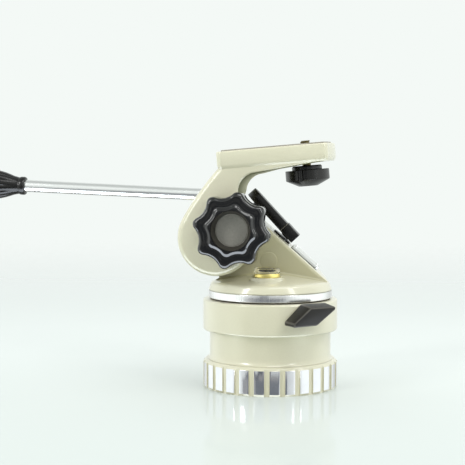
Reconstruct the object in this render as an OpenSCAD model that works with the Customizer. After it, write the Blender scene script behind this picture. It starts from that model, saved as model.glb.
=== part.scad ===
// Pan and tilt head for a camera tripod, in millimetres.
// Z is the pan axis and points up, and the rim that the head stands on is at z = 0.
// X points to the nose of the camera platform; the pan bar leaves towards -X.
// The tilt axis lies along Y, behind the pan axis.

/* [Clamp ring] */
// How far the ribbed clamp ring stands out from the collar
ring_stand = 0; // [-1:0.1:4]
// Height of the clamp ring
ring_h = 18; // [16:0.5:24]
// Number of bright lands around the ring
land_count = 28; // [16:1:36]
// Width of the groove between two lands
groove_w = 3.8; // [2:0.1:5]
// Depth of a groove
groove_depth = 1; // [0.5:0.1:2]
// Direction of the middle of one land, in degrees from +X
land_phase = -81.9; // [-90:0.1:90]
// Height of the sloping edge above the lands
ring_bevel = 2; // [1:0.1:3]
// How much larger the tripod thread's radius is than the spigot's
thread_out = 1.5; // [1:0.1:2.5]
// Length of the tripod thread
thread_h = 9; // [6:0.5:10]

/* [Base] */
// Radius of the fixed collar
collar_r = 43.5; // [42:0.5:50]
// Height of the fixed collar
collar_h = 20; // [16:0.5:28]
// How far the neck stands back from the collar
neck_in = 4.3; // [2:0.1:6]
// Height of the neck
neck_h = 18.65; // [12:0.05:28]
// Wall of the hollow neck
base_wall = 5.2; // [4:0.1:8]
// Thickness of the deck under the pan bearing
deck_t = 13.6; // [12:0.1:15]
// How far the spigot for the clamp ring stands back from the neck
spigot_in = 4.7; // [4:0.1:6]
// Wall of the spigot
spigot_wall = 10.5; // [9:0.1:12]
// Radius of the hub round the pan bush
hub_r = 16.5; // [15:0.1:20]
// Height of the hub, from the top of the collar down
hub_h = 34.8; // [26:0.1:36]
// Thickness of the plate that closes the base
base_plate_t = 2; // [1.6:0.1:3]

/* [Pan bearing] */
// Radius of the pan spindle
spindle_r = 9; // [7:0.1:10]
// Wall of the pan bush
bush_wall = 3; // [2:0.1:4]
// Radius of the spindle's flange
flange_r = 24; // [23:0.1:28]
// Thickness of the fibre friction washer
washer_t = 0.8; // [0.5:0.1:2]
// How far the bright pan ring stands back from the collar
pan_ring_in = 3.5; // [2:0.1:5]
// Height of the bright pan ring
pan_ring_h = 4.7; // [4:0.1:7]
// Width across the flats of the spindle nut
nut_flats = 24; // [23:0.5:30]
// Height of the spindle nut
nut_h = 6; // [5:0.1:6.5]

/* [Pan dish] */
// How far the pan dish stands out from the bright ring
dish_stand = 0; // [-1:0.1:2]
// Height of the pan dish
dish_h = 5.2; // [5:0.1:8]
// Radius of the dish's rounded shoulder
shoulder_r = 4; // [2:0.1:4.2]

/* [Tower] */
// Distance of the tilt axis behind the pan axis
tilt_back = 20.6; // [18:0.1:23]
// Height of the tilt axis above the dish
axis_h = 35; // [33:0.1:42]
// Side of the tower that faces the arm, along Y
tower_near = -5.4; // [-7:0.1:-4]
// Width of the tower
tower_w = 31.4; // [29:0.1:34]
// Radius of the tower's round head
head_r = 14; // [13:0.1:14.5]
// Fall of the tower's sloping face, in degrees
slope_deg = 41.6; // [40:0.1:44]
// How far the tower's foot reaches behind the tilt axis
tower_back = 15.4; // [14:0.1:17]
// How far the tower's foot stays in from the dish's edge
foot_in = 2; // [1:0.1:4]
// Radius of the core plug in the tower's side
plug_r = 5.5; // [4:0.1:6.5]
// Place of the core plug, along X from the tilt axis
plug_x = 20; // [18:0.1:23]
// Place of the core plug, below the tilt axis
plug_drop = 21.2; // [18:0.1:25]
// Length of the core plug
plug_l = 5; // [3:0.1:8]
// Length of the name plate down the slope
plate_l = 22; // [14:0.1:24]
// Width of the name plate
plate_w = 20; // [12:0.1:22]
// Thickness of the name plate
plate_t = 0.8; // [0.5:0.1:1.2]
// Place of the plate's upper edge down the slope
plate_start = 34.2; // [33.6:0.1:36]

/* [Level] */
// Place of the bull's-eye level along X
level_x = -0.5; // [-3:0.1:4]
// Place of the level along Y
level_y = -19.7; // [-22:0.1:-18]
// Radius of the level's brass cup
level_r = 8.1; // [7.4:0.1:9]
// Height of the cup above its boss
level_h = 2.9; // [2.4:0.1:4]
// Height of the level's clear cap above the cup
cap_h = 2.5; // [2:0.1:3]
// Radius of the bubble chamber in the cap
bubble_r = 3.5; // [3:0.1:4.5]
// Radius of the cast boss under the level
level_boss_r = 10.6; // [9.6:0.1:11.5]
// Height of the boss
level_boss_h = 4.4; // [4:0.1:5]

/* [Tilting arm] */
// Nose-up angle of the platform in the resting pose
tilt_rest = 4.7; // [0:0.1:10]
// Thickness of the arm's cheek along Y
arm_t = 22.5; // [20:0.1:23]
// Radius of the round lobe at the arm's lower end
lobe_r = 25; // [22:0.1:26]
// Lobe's centre behind the tilt axis
lobe_back = 11.4; // [8:0.1:12]
// Lobe's centre below the tilt axis
lobe_drop = 5.2; // [2:0.1:6]
// Rise of the arm's back, in degrees
back_deg = 52.5; // [50:0.1:56]
// Bulge of the arm's back
back_bulge = 1.4; // [0.5:0.1:3]
// Front of the neck, ahead of the tilt axis
neck_front = 4.2; // [2:0.1:7]
// Radius of the crook between the neck and the platform
crook_r = 11.8; // [9:0.1:14]
// How far the neck reaches over the tower
neck_over = 4.5; // [2:0.1:5]

/* [Platform] */
// Length of the platform
plat_l = 73.4; // [70:0.1:84]
// Width of the platform
plat_w = 59; // [57:0.5:70]
// Thickness of the platform's rim
plat_t = 11; // [10.6:0.1:13]
// Height of the platform's top above the tilt axis
plat_top = 49.1; // [47:0.1:55]
// Overhang of the platform behind the tilt axis
plat_back = 7; // [4:0.1:9]
// Rounding of the platform's corners in plan
corner_r = 4; // [2:0.1:8]
// Radius of the platform's bowed nose in plan
nose_r = 90; // [70:1:110]
// Deepest point of the web under the platform, at the crook
web_drop = 4; // [1:0.1:4.6]
// Thickness of the pad on the platform
pad_t = 0.8; // [0.5:0.1:2]
// Margin between the pad and the platform's edge
pad_inset = 2.5; // [1:0.1:5]

/* [Tilt shaft] */
// Radius of the tilt shaft
shaft_r = 7; // [6:0.1:7.5]
// Radius of the stud that carries the knob
stud_r = 5; // [4:0.1:5.5]
// Wall of the tilt bushes
tilt_bush_wall = 3; // [2:0.1:3.4]
// Length of one tilt bush
tilt_bush_l = 9; // [6:0.1:10]
// Radius of the shaft's far flange
shaft_flange_r = 13; // [11.5:0.1:14]
// Thickness of the shaft's far flange
shaft_flange_t = 4; // [3:0.1:6]
// Thickness of the fibre washer between arm and tower
tilt_washer_t = 0.5; // [0.4:0.1:1]
// Thickness of the washer at the far side
thrust_washer_t = 0.8; // [0.5:0.1:1.5]

/* [Tilt knob] */
// Radius over the lobes of the tilt knob
knob_r = 24; // [20:0.1:25]
// Radius at the valleys between the lobes
valley_r = 20.4; // [17:0.1:21]
// Radius of the scallop between two lobes
scallop_r = 11.4; // [8:0.1:14]
// Number of lobes
knob_lobes = 8; // [6:1:10]
// Direction of one lobe, in degrees
knob_phase = -11.5; // [-22:0.5:22]
// Height of the knob
knob_h = 20; // [17:0.1:24]
// Radius of the recess in the knob's front
recess_r = 12.6; // [11.5:0.1:14]
// Depth of the recess
recess_depth = 9; // [6:0.1:10]
// Radius of the plain disc in the recess
disc_r = 10.1; // [9:0.1:11.5]
// Thickness of the disc
disc_t = 1; // [0.6:0.1:2]
// Radius of the brass insert
insert_r = 8; // [7:0.1:9]
// Thickness of the washer behind the knob
knob_washer_t = 1.3; // [0.8:0.1:2]

/* [Tilt lever] */
// Rise of the lock screw's axis, in degrees
lock_deg = 42.6; // [40:0.1:45]
// Shift of the lock screw from the middle of the tower
lock_shift = 1.7; // [0:0.1:2]
// Inner face of the lever, from the tilt axis
lever_in = 17.8; // [17.4:0.1:20]
// Thickness of the lever
lever_t = 6.6; // [5:0.1:8]
// Width of the lever
lever_w = 12.5; // [10:0.1:13]
// Long end of the lever, from its pivot
lever_long = 30.6; // [26:0.1:32]
// Short end of the lever, from its pivot
lever_short = 12.4; // [10:0.1:13]
// Length of the thicker finger end
lever_tip = 11; // [8:0.1:14]

/* [Pan lever] */
// Direction of the pan lever, in degrees from +X
wing_dir = -57; // [-70:0.5:-40]
// Height of the pan lever above the foot of the collar
wing_up = 13.7; // [12.5:0.1:14]
// Half length of the wing
wing_half = 13.6; // [11:0.1:16]
// Height of the wing's waist above its middle line
wing_waist = 5.6; // [5:0.1:7]
// Height of the wing's raised tip above its middle line
wing_tip = 6.4; // [6:0.1:8]
// Width of the blunt end of the wing
wing_blunt = 2.8; // [2:0.1:4]
// Sideways shift of the waist
wing_lean = 0.8; // [0:0.1:3]
// Thickness of the wing
wing_t = 10; // [7:0.1:12]
// Gap between the collar and the wing
wing_gap = 3.5; // [2:0.1:5]
// Radius of the hub behind the wing and of the tilt lever's hub
lever_hub_r = 6; // [4.5:0.1:6.4]

/* [Locks] */
// Radius of both lock screws
lock_screw_r = 2.95; // [2.4:0.05:3.2]
// Length of the pan brake shoe
pan_shoe_l = 10; // [6:0.1:14]
// Length of the tilt brake shoe
tilt_shoe_l = 4; // [3:0.1:5]
// Gap between the released pan shoe and the spindle
pan_shoe_gap = 0.35; // [0.33:0.01:0.5]
// Gap between the tilt shoe and the shaft it holds in the resting pose
tilt_shoe_gap = 0.06; // [0.05:0.01:0.1]
// Room behind the tilt shoe for its release
shoe_lift = 0.35; // [0.3:0.01:0.5]

/* [Camera screw] */
// Radius of the camera screw
cam_r = 3.175; // [3:0.005:4.8]
// Place of the camera screw ahead of the tilt axis
cam_x = 47.2; // [46:0.1:52]
// Length of thread above the pad
cam_thread = 2.5; // [2:0.1:6]
// How much slimmer the captive shank is than the thread
cam_relief = 0.4; // [0.2:0.05:0.6]
// Radius of the camera knob
cam_knob_r = 14.1; // [12:0.1:15]
// Height of the camera knob
cam_knob_h = 10.4; // [7:0.1:11]
// Height of the cone at the knob's lower end
cam_cone = 4; // [2:0.1:5]
// How far the cone narrows
cam_slant = 8; // [5:0.1:9]
// Radius of the flange above the knob
cam_flange_r = 9.7; // [8:0.1:11]
// Height of the flange
cam_flange_h = 2.8; // [2:0.1:4]
// Number of finger notches in the camera knob
cam_notches = 3; // [3:1:9]
// Turn of the notches at rest, in degrees
cam_turn = 14; // [0:1:60]
// Upward float of the camera screw
cam_float = 1.8; // [1:0.1:2.4]

/* [Pan bar] */
// Radius of the pan bar
bar_r = 4; // [3.5:0.1:5]
// Rise of the bar from the platform's plane, in degrees
bar_rise = 7.4; // [0:0.1:10]
// Bar's entry behind the tilt axis
bar_back = 19.2; // [18:0.1:20]
// Bar's entry above the tilt axis
bar_up = 23; // [22.5:0.1:25.5]
// Length of bar inside the arm
bar_in = 15; // [10:0.1:16]
// Bare length of the bar, up to the grip
bar_bare = 115.4; // [80:0.1:160]
// Length of the grip
grip_l = 105; // [80:0.5:120]
// Largest radius of the grip
grip_r = 12.3; // [10:0.1:14]
// Radius of the grip's plain collar
grip_collar_r = 5.85; // [5.6:0.05:7]
// Length of the plain collar
grip_collar_l = 5; // [3:0.1:8]
// Number of flutes along the grip
grip_flutes = 12; // [8:1:16]

/* [Fits] */
// Running clearance on a radius
fit = 0.05; // [0.02:0.01:0.1]
// Gap between pieces that are pressed or screwed together
snug = 0.02; // [0.01:0.01:0.04]
// Gap between flat faces that slide on each other
slip = 0.1; // [0.05:0.01:0.15]

/* [Hidden] */
$fn = 96;
enamel = "#d2d0b9";
bakelite = "#17181a";
alloy = "#d5d7d8";
steel = "#9da1a5";
brass = "#cdb25a";
bronze = "#a9814a";
fibre = "#3a2f28";
clear = "#b8d8c0";

// Heights up the pan axis
seat_gap = 0.3;
chamber_h = 3.5;
clip_t = 1.6;
clip_play = 0.3;
ring_gap = 0.15;
z_seat = thread_h + seat_gap;
z_lip = thread_h + chamber_h;
z_clip = z_lip - clip_play - clip_t;
z_neck = ring_h + ring_gap;
z_collar = z_neck + neck_h;
z_top = z_collar + collar_h;
z_deck = z_top - deck_t;
z_hub = z_top - hub_h;
z_ring = z_top + washer_t + slip;
z_dish = z_ring + pan_ring_h;
z_floor = z_dish + dish_h;
z_tilt = z_floor + axis_h;
z_wing = z_collar + wing_up;

// Radii of the turned pieces, from the collar
neck_r = collar_r - neck_in;
spigot_r = neck_r - spigot_in;
thread_r = spigot_r + thread_out;
ring_r = collar_r + ring_stand;
pan_ring_r = collar_r - pan_ring_in;
dish_r = pan_ring_r + dish_stand;
foot_r = dish_r - foot_in;

// Clamp ring and base
ring_bevel_in = 1.5;
ring_foot_h = 1.4;
ring_foot_in = 0.8;
chamber_r = thread_r + 1.5;
clip_r = chamber_r - 0.5;
clip_bite = 1.2;
clip_mouth = 8;
cavity_r = neck_r - base_wall;
spigot_bore = spigot_r - spigot_wall;
ledge_w = 7;
plate_r = spigot_bore + ledge_w;
base_step = 2;
edge_break = 0.8;
base_screw_r = 1.25;
base_screw_l = 8;
base_screw_count = 3;

// Pan bearing
bush_r = spindle_r + bush_wall;
spindle_washer_t = 1.5;
z_nut = z_hub - slip - spindle_washer_t;
thread_step = 1;
spindle_end = 0.5;
ring_screw_count = 3;
ring_screw_r = 2;
ring_screw_l = pan_ring_h - slip + dish_h - 1.6;
washer_inset = 1.2;
washer_overlap = 4;

// Places along Y
tower_far = tower_near + tower_w;
y_arm = tower_near - slip - tilt_washer_t;
y_side = y_arm - arm_t;
y_knob = y_side - knob_washer_t - 2 * slip;
y_recess = y_knob - knob_h + recess_depth;
y_lock = tower_near + tower_w / 2 + lock_shift;
y_bar = y_arm - arm_t / 2;
y_neck = y_arm + neck_over;

// Tilt shaft
tilt_bush_r = shaft_r + tilt_bush_wall;
key_w = 3;
key_h = 3.2;
key_l = 12;
stud_short = 0.5;
stud_washer_r = 11;

// Knob outline: tip circles that meet the scallops without a corner
scallop_d = valley_r + scallop_r;
scallop_c = scallop_d * [cos(180 / knob_lobes), sin(180 / knob_lobes)];
tip_sum = scallop_r + knob_r;
tip_d = (tip_sum * tip_sum - scallop_d * scallop_d) / (2 * tip_sum - 2 * scallop_c.x);
tip_r = knob_r - tip_d;
tip_join = [tip_d, 0] + (scallop_c - [tip_d, 0]) * tip_r / (tip_r + scallop_r);
tip_lap = 0.06;
knob_round = 5;
turn_r = knob_r + 0.3;

// Arm outline, seen from the side and measured from the tilt axis
plat_under = plat_top - plat_t;
lobe_c = [-lobe_back, -lobe_drop];
back_foot = lobe_c + lobe_r * [cos(back_deg + 90), sin(back_deg + 90)];
back_len = (plat_under - back_foot.y) / sin(back_deg);
back_head = back_foot + back_len * [cos(back_deg), sin(back_deg)];
back_mid = (back_foot + back_head) / 2 + back_bulge * [cos(back_deg + 90), sin(back_deg + 90)];
web_low = plat_under - web_drop;
crook_c = [neck_front + crook_r, web_low - crook_r];
web_end = plat_l - plat_back - 7;
neck_clear = head_r + 2;

// Locks
shoe_hollow = 0.8;
shoe_face = spindle_r + pan_shoe_gap;
pan_screw_in = shoe_face + pan_shoe_l + fit;
wing_in = collar_r + wing_gap;
wing_hub_in = collar_r + 0.5;
tilt_shoe_face = shaft_r + tilt_shoe_gap;
tilt_screw_in = tilt_shoe_face + tilt_shoe_l + shoe_lift;
hub_lift = 1.2;
lock_bore_r = lock_screw_r + fit;
screw_bite = 4;
tip_extra = 0.6;

// Camera screw, measured from the tilt axis
z_flange = plat_under - cam_float - slip;
z_cam_knob = z_flange - cam_flange_h;
z_cam_low = z_cam_knob - cam_knob_h;
cam_neck_r = cam_r - cam_relief;
z_thread = plat_top + pad_t;
cam_clip_t = 0.8;
cam_clip_r = cam_r + 2.4;
cam_clip_bite = 0.5;
cam_pocket = cam_clip_t + cam_float + 2;
z_cam_clip = plat_top - cam_pocket + fit;

// Level
level_seat = 3;
stem_wall = 0.7;
vial_wall = 1.2;
level_stem_r = level_r - stem_wall;
vial_r = level_stem_r - vial_wall;
cap_roof = 0.6;
z_level = z_floor + level_boss_h;

// Sloping face, name plate and its rivets
slope_up = head_r - 0.03;
rivet_r = 0.6;
rivet_head_r = 1;
rivet_head_t = 0.5;
rivet_l = 3;
rivet_inset = 2;
plug_stand = 0.5;

// Grip
grip_flare = 44;
grip_slim = 2;
grip_end_r = 4;
grip_wall_end = 6;
flute_r = 1.6;
grip_steps = 12;

// Shared shapes

module tube(outer, inner, h) {
    difference() {
        cylinder(r = outer, h = h);
        translate([0, 0, -1]) cylinder(r = inner, h = h + 2);
    }
}

// A cylinder along Y, from y0 to y1
module y_rod(r, y0, y1) {
    translate([0, y0, 0]) rotate([-90, 0, 0]) cylinder(r = r, h = y1 - y0);
}

module y_tube(outer, inner, y0, y1) {
    translate([0, y0, 0]) rotate([-90, 0, 0]) tube(outer, inner, y1 - y0);
}

// A side view, drawn in X and Z, given thickness from y0 to y1
module side_slab(y0, y1) {
    translate([0, y1, 0]) rotate([90, 0, 0]) linear_extrude(y1 - y0) children();
}

// A countersunk screw with its head at the bottom, or its hole
module csk_screw(r, l, gap = 0) {
    cylinder(r = r + gap, h = l + gap);
    translate([0, 0, -gap]) cylinder(r1 = 2 * r + 3 * gap, r2 = r + gap, h = r + gap);
}

// The tilt axis, level
module at_tilt() {
    translate([-tilt_back, 0, z_tilt]) children();
}

// The tilt axis, turned with the platform in its resting pose
module at_arm() {
    at_tilt() rotate([0, -tilt_rest, 0]) children();
}

// The sloping face: X runs down the slope, Z out of it, from the tilt axis
module at_slope() {
    at_tilt() rotate([0, slope_deg, 0]) children();
}

// The tilt lock screw: Z runs out along the screw, X down the lever
module at_tilt_lock() {
    at_tilt() translate([0, y_lock, 0]) rotate([0, 90 - lock_deg, 0]) children();
}

// The pan lock screw: Z runs out along the screw, Y is up
module at_pan_lock() {
    translate([0, 0, z_wing]) rotate([0, 0, wing_dir]) rotate([90, 0, 90]) children();
}

// The pan bar: Z runs out along the bar from the arm's back
module at_bar() {
    at_arm() translate([-bar_back, y_bar, bar_up]) rotate([0, bar_rise - 90, 0]) children();
}

// The camera screw's axis
module at_camera() {
    at_arm() translate([cam_x, 0, 0]) children();
}

// Base body

module base_profile() {
    polygon([
        [bush_r + snug, z_hub], [hub_r, z_hub], [hub_r, z_deck], [cavity_r, z_deck],
        [cavity_r, z_neck + base_step], [spigot_bore, z_neck + base_step],
        [spigot_bore, z_seat + base_plate_t], [plate_r, z_seat + base_plate_t], [plate_r, z_seat],
        [spigot_r, z_seat], [spigot_r, z_neck], [neck_r, z_neck], [neck_r, z_collar],
        [collar_r - edge_break, z_collar], [collar_r, z_collar + edge_break],
        [collar_r, z_top - edge_break], [collar_r - edge_break, z_top], [bush_r + snug, z_top]
    ]);
}

module at_base_screws() {
    for (i = [0 : base_screw_count - 1])
        rotate([0, 0, i * 360 / base_screw_count])
            translate([spigot_bore + ledge_w / 2, 0, z_seat]) children();
}

module base_casting() {
    color(enamel) difference() {
        rotate_extrude() base_profile();
        translate([0, 0, z_clip - snug])
            tube(spigot_r + 1, spigot_r - clip_bite - snug, clip_t + 2 * snug);
        at_pan_lock() cylinder(r = lock_bore_r, h = collar_r + 1);
        at_base_screws() csk_screw(base_screw_r, base_screw_l, snug);
    }
}

module pan_bush() {
    color(bronze) difference() {
        translate([0, 0, z_hub]) tube(bush_r, spindle_r + fit, hub_h);
        at_pan_lock() cylinder(r = lock_bore_r, h = bush_r + 1);
    }
}

module friction_washer() {
    color(fibre) translate([0, 0, z_top])
        tube(pan_ring_r - washer_inset, flange_r - washer_overlap, washer_t);
}

module base_plate() {
    color(alloy) difference() {
        translate([0, 0, z_seat]) cylinder(r = plate_r - snug, h = base_plate_t);
        at_base_screws() csk_screw(base_screw_r, base_screw_l, snug);
    }
}

module base_screws() {
    color(steel) at_base_screws() csk_screw(base_screw_r, base_screw_l);
}

module ring_clip() {
    color(steel) translate([0, 0, z_clip]) difference() {
        tube(clip_r, spigot_r - clip_bite, clip_t);
        translate([0, -clip_mouth / 2, -1]) cube([clip_r + 1, clip_mouth, clip_t + 2]);
    }
}

// Clamp ring

module clamp_ring() {
    color(alloy) difference() {
        rotate_extrude() polygon([
            [thread_r, 0], [ring_r - ring_foot_in, 0], [ring_r, ring_foot_h], [ring_r, ring_h - ring_bevel],
            [ring_r - ring_bevel_in, ring_h], [spigot_r + fit, ring_h], [spigot_r + fit, z_lip],
            [chamber_r, z_lip], [chamber_r, thread_h], [thread_r, thread_h]
        ]);
        for (i = [0 : land_count - 1])
            rotate([0, 0, land_phase + (i + 0.5) * 360 / land_count])
                translate([ring_r - groove_depth, -groove_w / 2, -1])
                    cube([groove_depth + 1, groove_w, ring_h + 2]);
    }
}

// Pan head body

// Screws through the spindle's flange, then screws through the bright ring
module at_flange_screws() {
    for (i = [0 : ring_screw_count - 1]) {
        rotate([0, 0, 90 + i * 360 / ring_screw_count])
            translate([(spindle_r + flange_r) / 2, 0, z_ring + slip]) children();
        rotate([0, 0, 30 + i * 360 / ring_screw_count])
            translate([(flange_r + pan_ring_r) / 2, 0, z_ring + slip]) children();
    }
}

module dish_profile() {
    translate([0, z_dish]) square([dish_r - shoulder_r, dish_h]);
    polygon([
        [0, z_dish], [dish_r - edge_break, z_dish], [dish_r, z_dish + edge_break],
        [dish_r, z_floor - shoulder_r], [0, z_floor - shoulder_r]
    ]);
    translate([dish_r - shoulder_r, z_floor - shoulder_r]) intersection() {
        circle(r = shoulder_r);
        square(shoulder_r);
    }
}

// Side view of the tower, from the tilt axis, with its foot inside the dish
module tower_profile() {
    sink = dish_h - 1;
    crest = slope_up * [sin(slope_deg), cos(slope_deg)];
    run = (crest.y + axis_h + sink) / tan(slope_deg);
    circle(r = head_r);
    polygon([
        [0, 0], [-head_r, 0], [-tower_back, -axis_h - sink], [crest.x + run, -axis_h - sink], crest
    ]);
}

module at_rivets() {
    for (down = [rivet_inset, plate_l - rivet_inset], side = [-1, 1])
        at_slope() translate([plate_start + down, y_lock + side * (plate_w / 2 - rivet_inset),
                              slope_up + plate_t]) children();
}

module pan_head_casting() {
    color(enamel) difference() {
        union() {
            rotate_extrude() dish_profile();
            intersection() {
                at_tilt() side_slab(tower_near, tower_far) tower_profile();
                translate([0, 0, z_dish]) cylinder(r = foot_r, h = dish_h + axis_h + head_r + 1);
            }
            translate([level_x, level_y, z_floor - 1]) cylinder(r = level_boss_r, h = level_boss_h + 1);
        }
        at_flange_screws() csk_screw(ring_screw_r, ring_screw_l, snug);
        translate([level_x, level_y, z_level - level_seat])
            cylinder(r = level_stem_r + snug, h = level_seat + 1);
        at_tilt() y_rod(tilt_bush_r + snug, tower_near - 1, tower_far + 1);
        at_tilt_lock() cylinder(r = lock_bore_r, h = head_r + 2);
        at_tilt() translate([plug_x, 0, -plug_drop])
            y_rod(plug_r + snug, tower_near - 1, tower_near + plug_l);
        at_rivets() translate([0, 0, -plate_t - rivet_l - snug])
            cylinder(r = rivet_r + snug, h = rivet_l + plate_t, $fn = 24);
    }
}

module pan_ring() {
    chamfer = 0.5;
    color(alloy) difference() {
        rotate_extrude() polygon([
            [flange_r + slip, z_ring], [pan_ring_r - chamfer, z_ring], [pan_ring_r, z_ring + chamfer],
            [pan_ring_r, z_dish - chamfer], [pan_ring_r - chamfer, z_dish], [flange_r + slip, z_dish]
        ]);
        at_flange_screws() csk_screw(ring_screw_r, ring_screw_l, snug);
    }
}

module pan_spindle() {
    color(steel) difference() {
        union() {
            translate([0, 0, z_ring]) cylinder(r = flange_r, h = pan_ring_h);
            translate([0, 0, z_nut]) cylinder(r = spindle_r, h = z_ring - z_nut + 1);
            translate([0, 0, z_nut - nut_h - spindle_end])
                cylinder(r = spindle_r - thread_step, h = nut_h + spindle_end + 1);
        }
        at_flange_screws() csk_screw(ring_screw_r, ring_screw_l, snug);
    }
}

module spindle_washer() {
    color(steel) translate([0, 0, z_nut]) tube(hub_r - 1, spindle_r + snug, spindle_washer_t);
}

module spindle_nut() {
    color(steel) translate([0, 0, z_nut - nut_h]) difference() {
        cylinder(r = nut_flats / 2 / cos(30), h = nut_h, $fn = 6);
        translate([0, 0, -1]) cylinder(r = spindle_r - thread_step + snug, h = nut_h + 2);
    }
}

module flange_screws() {
    color(steel) at_flange_screws() csk_screw(ring_screw_r, ring_screw_l);
}

module level_cup() {
    color(brass) translate([level_x, level_y, z_level]) difference() {
        union() {
            cylinder(r = level_r, h = level_h);
            translate([0, 0, -level_seat]) cylinder(r = level_stem_r, h = level_seat + 1);
        }
        translate([0, 0, -level_seat - 1]) cylinder(r = vial_r, h = level_seat + level_h + 2);
    }
}

module level_fluid() {
    color(clear) translate([level_x, level_y, z_level - level_seat]) {
        cylinder(r = vial_r - snug, h = level_seat + level_h - snug);
        cylinder(r = bubble_r - snug, h = level_seat + level_h + cap_h - cap_roof - snug);
    }
}

module level_lens() {
    color(clear) translate([level_x, level_y, z_level + level_h]) difference() {
        cylinder(r = level_r, h = cap_h);
        translate([0, 0, -1]) cylinder(r = bubble_r, h = 1 + cap_h - cap_roof);
    }
}

module name_plate() {
    color(alloy) difference() {
        at_slope() translate([plate_start, y_lock - plate_w / 2, slope_up]) cube([plate_l, plate_w, plate_t]);
        at_rivets() translate([0, 0, -plate_t - 1]) cylinder(r = rivet_r + snug, h = plate_t + 2, $fn = 24);
    }
}

module plate_rivets() {
    color(alloy) at_rivets() {
        cylinder(r = rivet_head_r, h = rivet_head_t, $fn = 24);
        translate([0, 0, -plate_t - rivet_l]) cylinder(r = rivet_r, h = plate_t + rivet_l + 0.1, $fn = 24);
    }
}

module core_plug() {
    color(enamel) at_tilt() translate([plug_x, 0, -plug_drop])
        y_rod(plug_r, tower_near - plug_stand, tower_near + plug_l);
}

module tilt_bush(y0) {
    color(bronze) at_tilt() y_tube(tilt_bush_r, shaft_r + fit, y0, y0 + tilt_bush_l);
}

module tilt_bush_near() {
    tilt_bush(tower_near);
}

module tilt_bush_far() {
    tilt_bush(tower_far - tilt_bush_l);
}

// Pan lock

module wing_outline() {
    polygon([
        [-wing_half, -wing_tip], [wing_lean, -wing_waist], [wing_half, wing_tip - wing_blunt],
        [wing_half, wing_tip], [-wing_lean, wing_waist], [-wing_half, wing_blunt - wing_tip]
    ]);
}

module pan_lever() {
    color(bakelite) at_pan_lock() difference() {
        union() {
            translate([0, 0, wing_in]) linear_extrude(wing_t) wing_outline();
            intersection() {
                translate([0, 0, wing_hub_in]) cylinder(r = lever_hub_r, h = wing_in - wing_hub_in + 1);
                translate([-lever_hub_r, -wing_waist, 0])
                    cube([2 * lever_hub_r, 2 * wing_waist, wing_in + 1]);
            }
        }
        cylinder(r = lock_screw_r + snug, h = wing_in + screw_bite);
    }
}

module pan_lever_screw() {
    color(steel) at_pan_lock() translate([0, 0, pan_screw_in])
        cylinder(r = lock_screw_r, h = wing_in + screw_bite - snug - pan_screw_in);
}

module pan_brake_shoe() {
    color(brass) at_pan_lock() difference() {
        translate([0, 0, shoe_face - shoe_hollow]) cylinder(r = lock_screw_r, h = pan_shoe_l + shoe_hollow);
        translate([0, 0, pan_shoe_gap - fit]) y_rod(spindle_r + fit, -spindle_r, spindle_r);
    }
}

// Tilting body

// Side view of the cheek: a round lobe with the neck rising from it
module cheek_profile() {
    translate(lobe_c) circle(r = lobe_r);
    neck_profile();
}

module neck_profile() {
    difference() {
        polygon([
            back_foot, back_mid, back_head, [crook_c.x, plat_under], [crook_c.x, crook_c.y],
            [neck_front, crook_c.y], [neck_front, 0], lobe_c
        ]);
        translate(crook_c) circle(r = crook_r);
    }
    polygon([[crook_c.x, web_low], [web_end, plat_under], [crook_c.x, plat_under]]);
}

module plat_outline(inset) {
    x0 = -plat_back + inset;
    x1 = plat_l - plat_back - inset;
    y1 = plat_w / 2 - inset;
    r = max(corner_r - inset, 1);
    intersection() {
        union() {
            translate([x0 + r, -y1]) square([x1 - x0 - r, 2 * y1]);
            translate([x0, -y1 + r]) square([x1 - x0, 2 * y1 - 2 * r]);
            for (y = [-y1 + r, y1 - r]) translate([x0 + r, y]) circle(r = r);
        }
        translate([x1 - nose_r - slip, 0]) circle(r = nose_r);
    }
}

module key_block(gap) {
    translate([-key_w / 2 - gap, y_arm - arm_t / 2 - key_l / 2 - gap, shaft_r - key_h / 2 - gap])
        cube([key_w + 2 * gap, key_l + 2 * gap, key_h + 2 * gap]);
}

module arm_casting() {
    color(enamel) difference() {
        union() {
            at_arm() side_slab(y_side, y_arm) cheek_profile();
            at_arm() difference() {
                side_slab(y_arm - 1, y_neck) intersection() {
                    neck_profile();
                    translate([back_foot.x, neck_clear]) square([plat_l, plat_top]);
                }
                y_rod(neck_clear, y_arm, y_neck + 1);
            }
            at_arm() translate([0, 0, plat_under]) linear_extrude(plat_t) plat_outline(0);
        }
        at_arm() y_rod(shaft_r + snug, y_side - 1, y_arm + 1);
        at_arm() key_block(snug);
        at_bar() translate([0, 0, -bar_in]) cylinder(r = bar_r + snug, h = bar_in + lobe_r);
        at_camera() translate([0, 0, plat_under - 1]) cylinder(r = cam_r + 0.3, h = plat_t + 2);
        at_camera() translate([0, 0, plat_top - cam_pocket]) cylinder(r = cam_clip_r + 1, h = cam_pocket + 1);
        at_camera() translate([0, 0, web_low - 1]) cylinder(r = cam_flange_r + 1, h = web_drop + 1);
    }
}

module platform_pad() {
    color("#3b3c3e") difference() {
        at_arm() translate([0, 0, plat_top]) linear_extrude(pad_t) plat_outline(pad_inset);
        at_camera() translate([0, 0, plat_top - 1]) cylinder(r = cam_clip_r + 1.5, h = pad_t + 2);
    }
}

module tilt_shaft() {
    y_flange = tower_far + 2 * slip + thrust_washer_t;
    color(steel) difference() {
        at_arm() union() {
            y_rod(shaft_r, y_side, y_flange + 1);
            y_rod(stud_r, y_recess + stud_short, y_side + 1);
            y_rod(shaft_flange_r, y_flange, y_flange + shaft_flange_t);
        }
        at_arm() key_block(snug);
    }
}

module shaft_key() {
    color(steel) at_arm() key_block(0);
}

module tilt_washer() {
    color(fibre) at_tilt() y_tube(head_r - 1, shaft_r + snug, y_arm, y_arm + tilt_washer_t);
}

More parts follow.
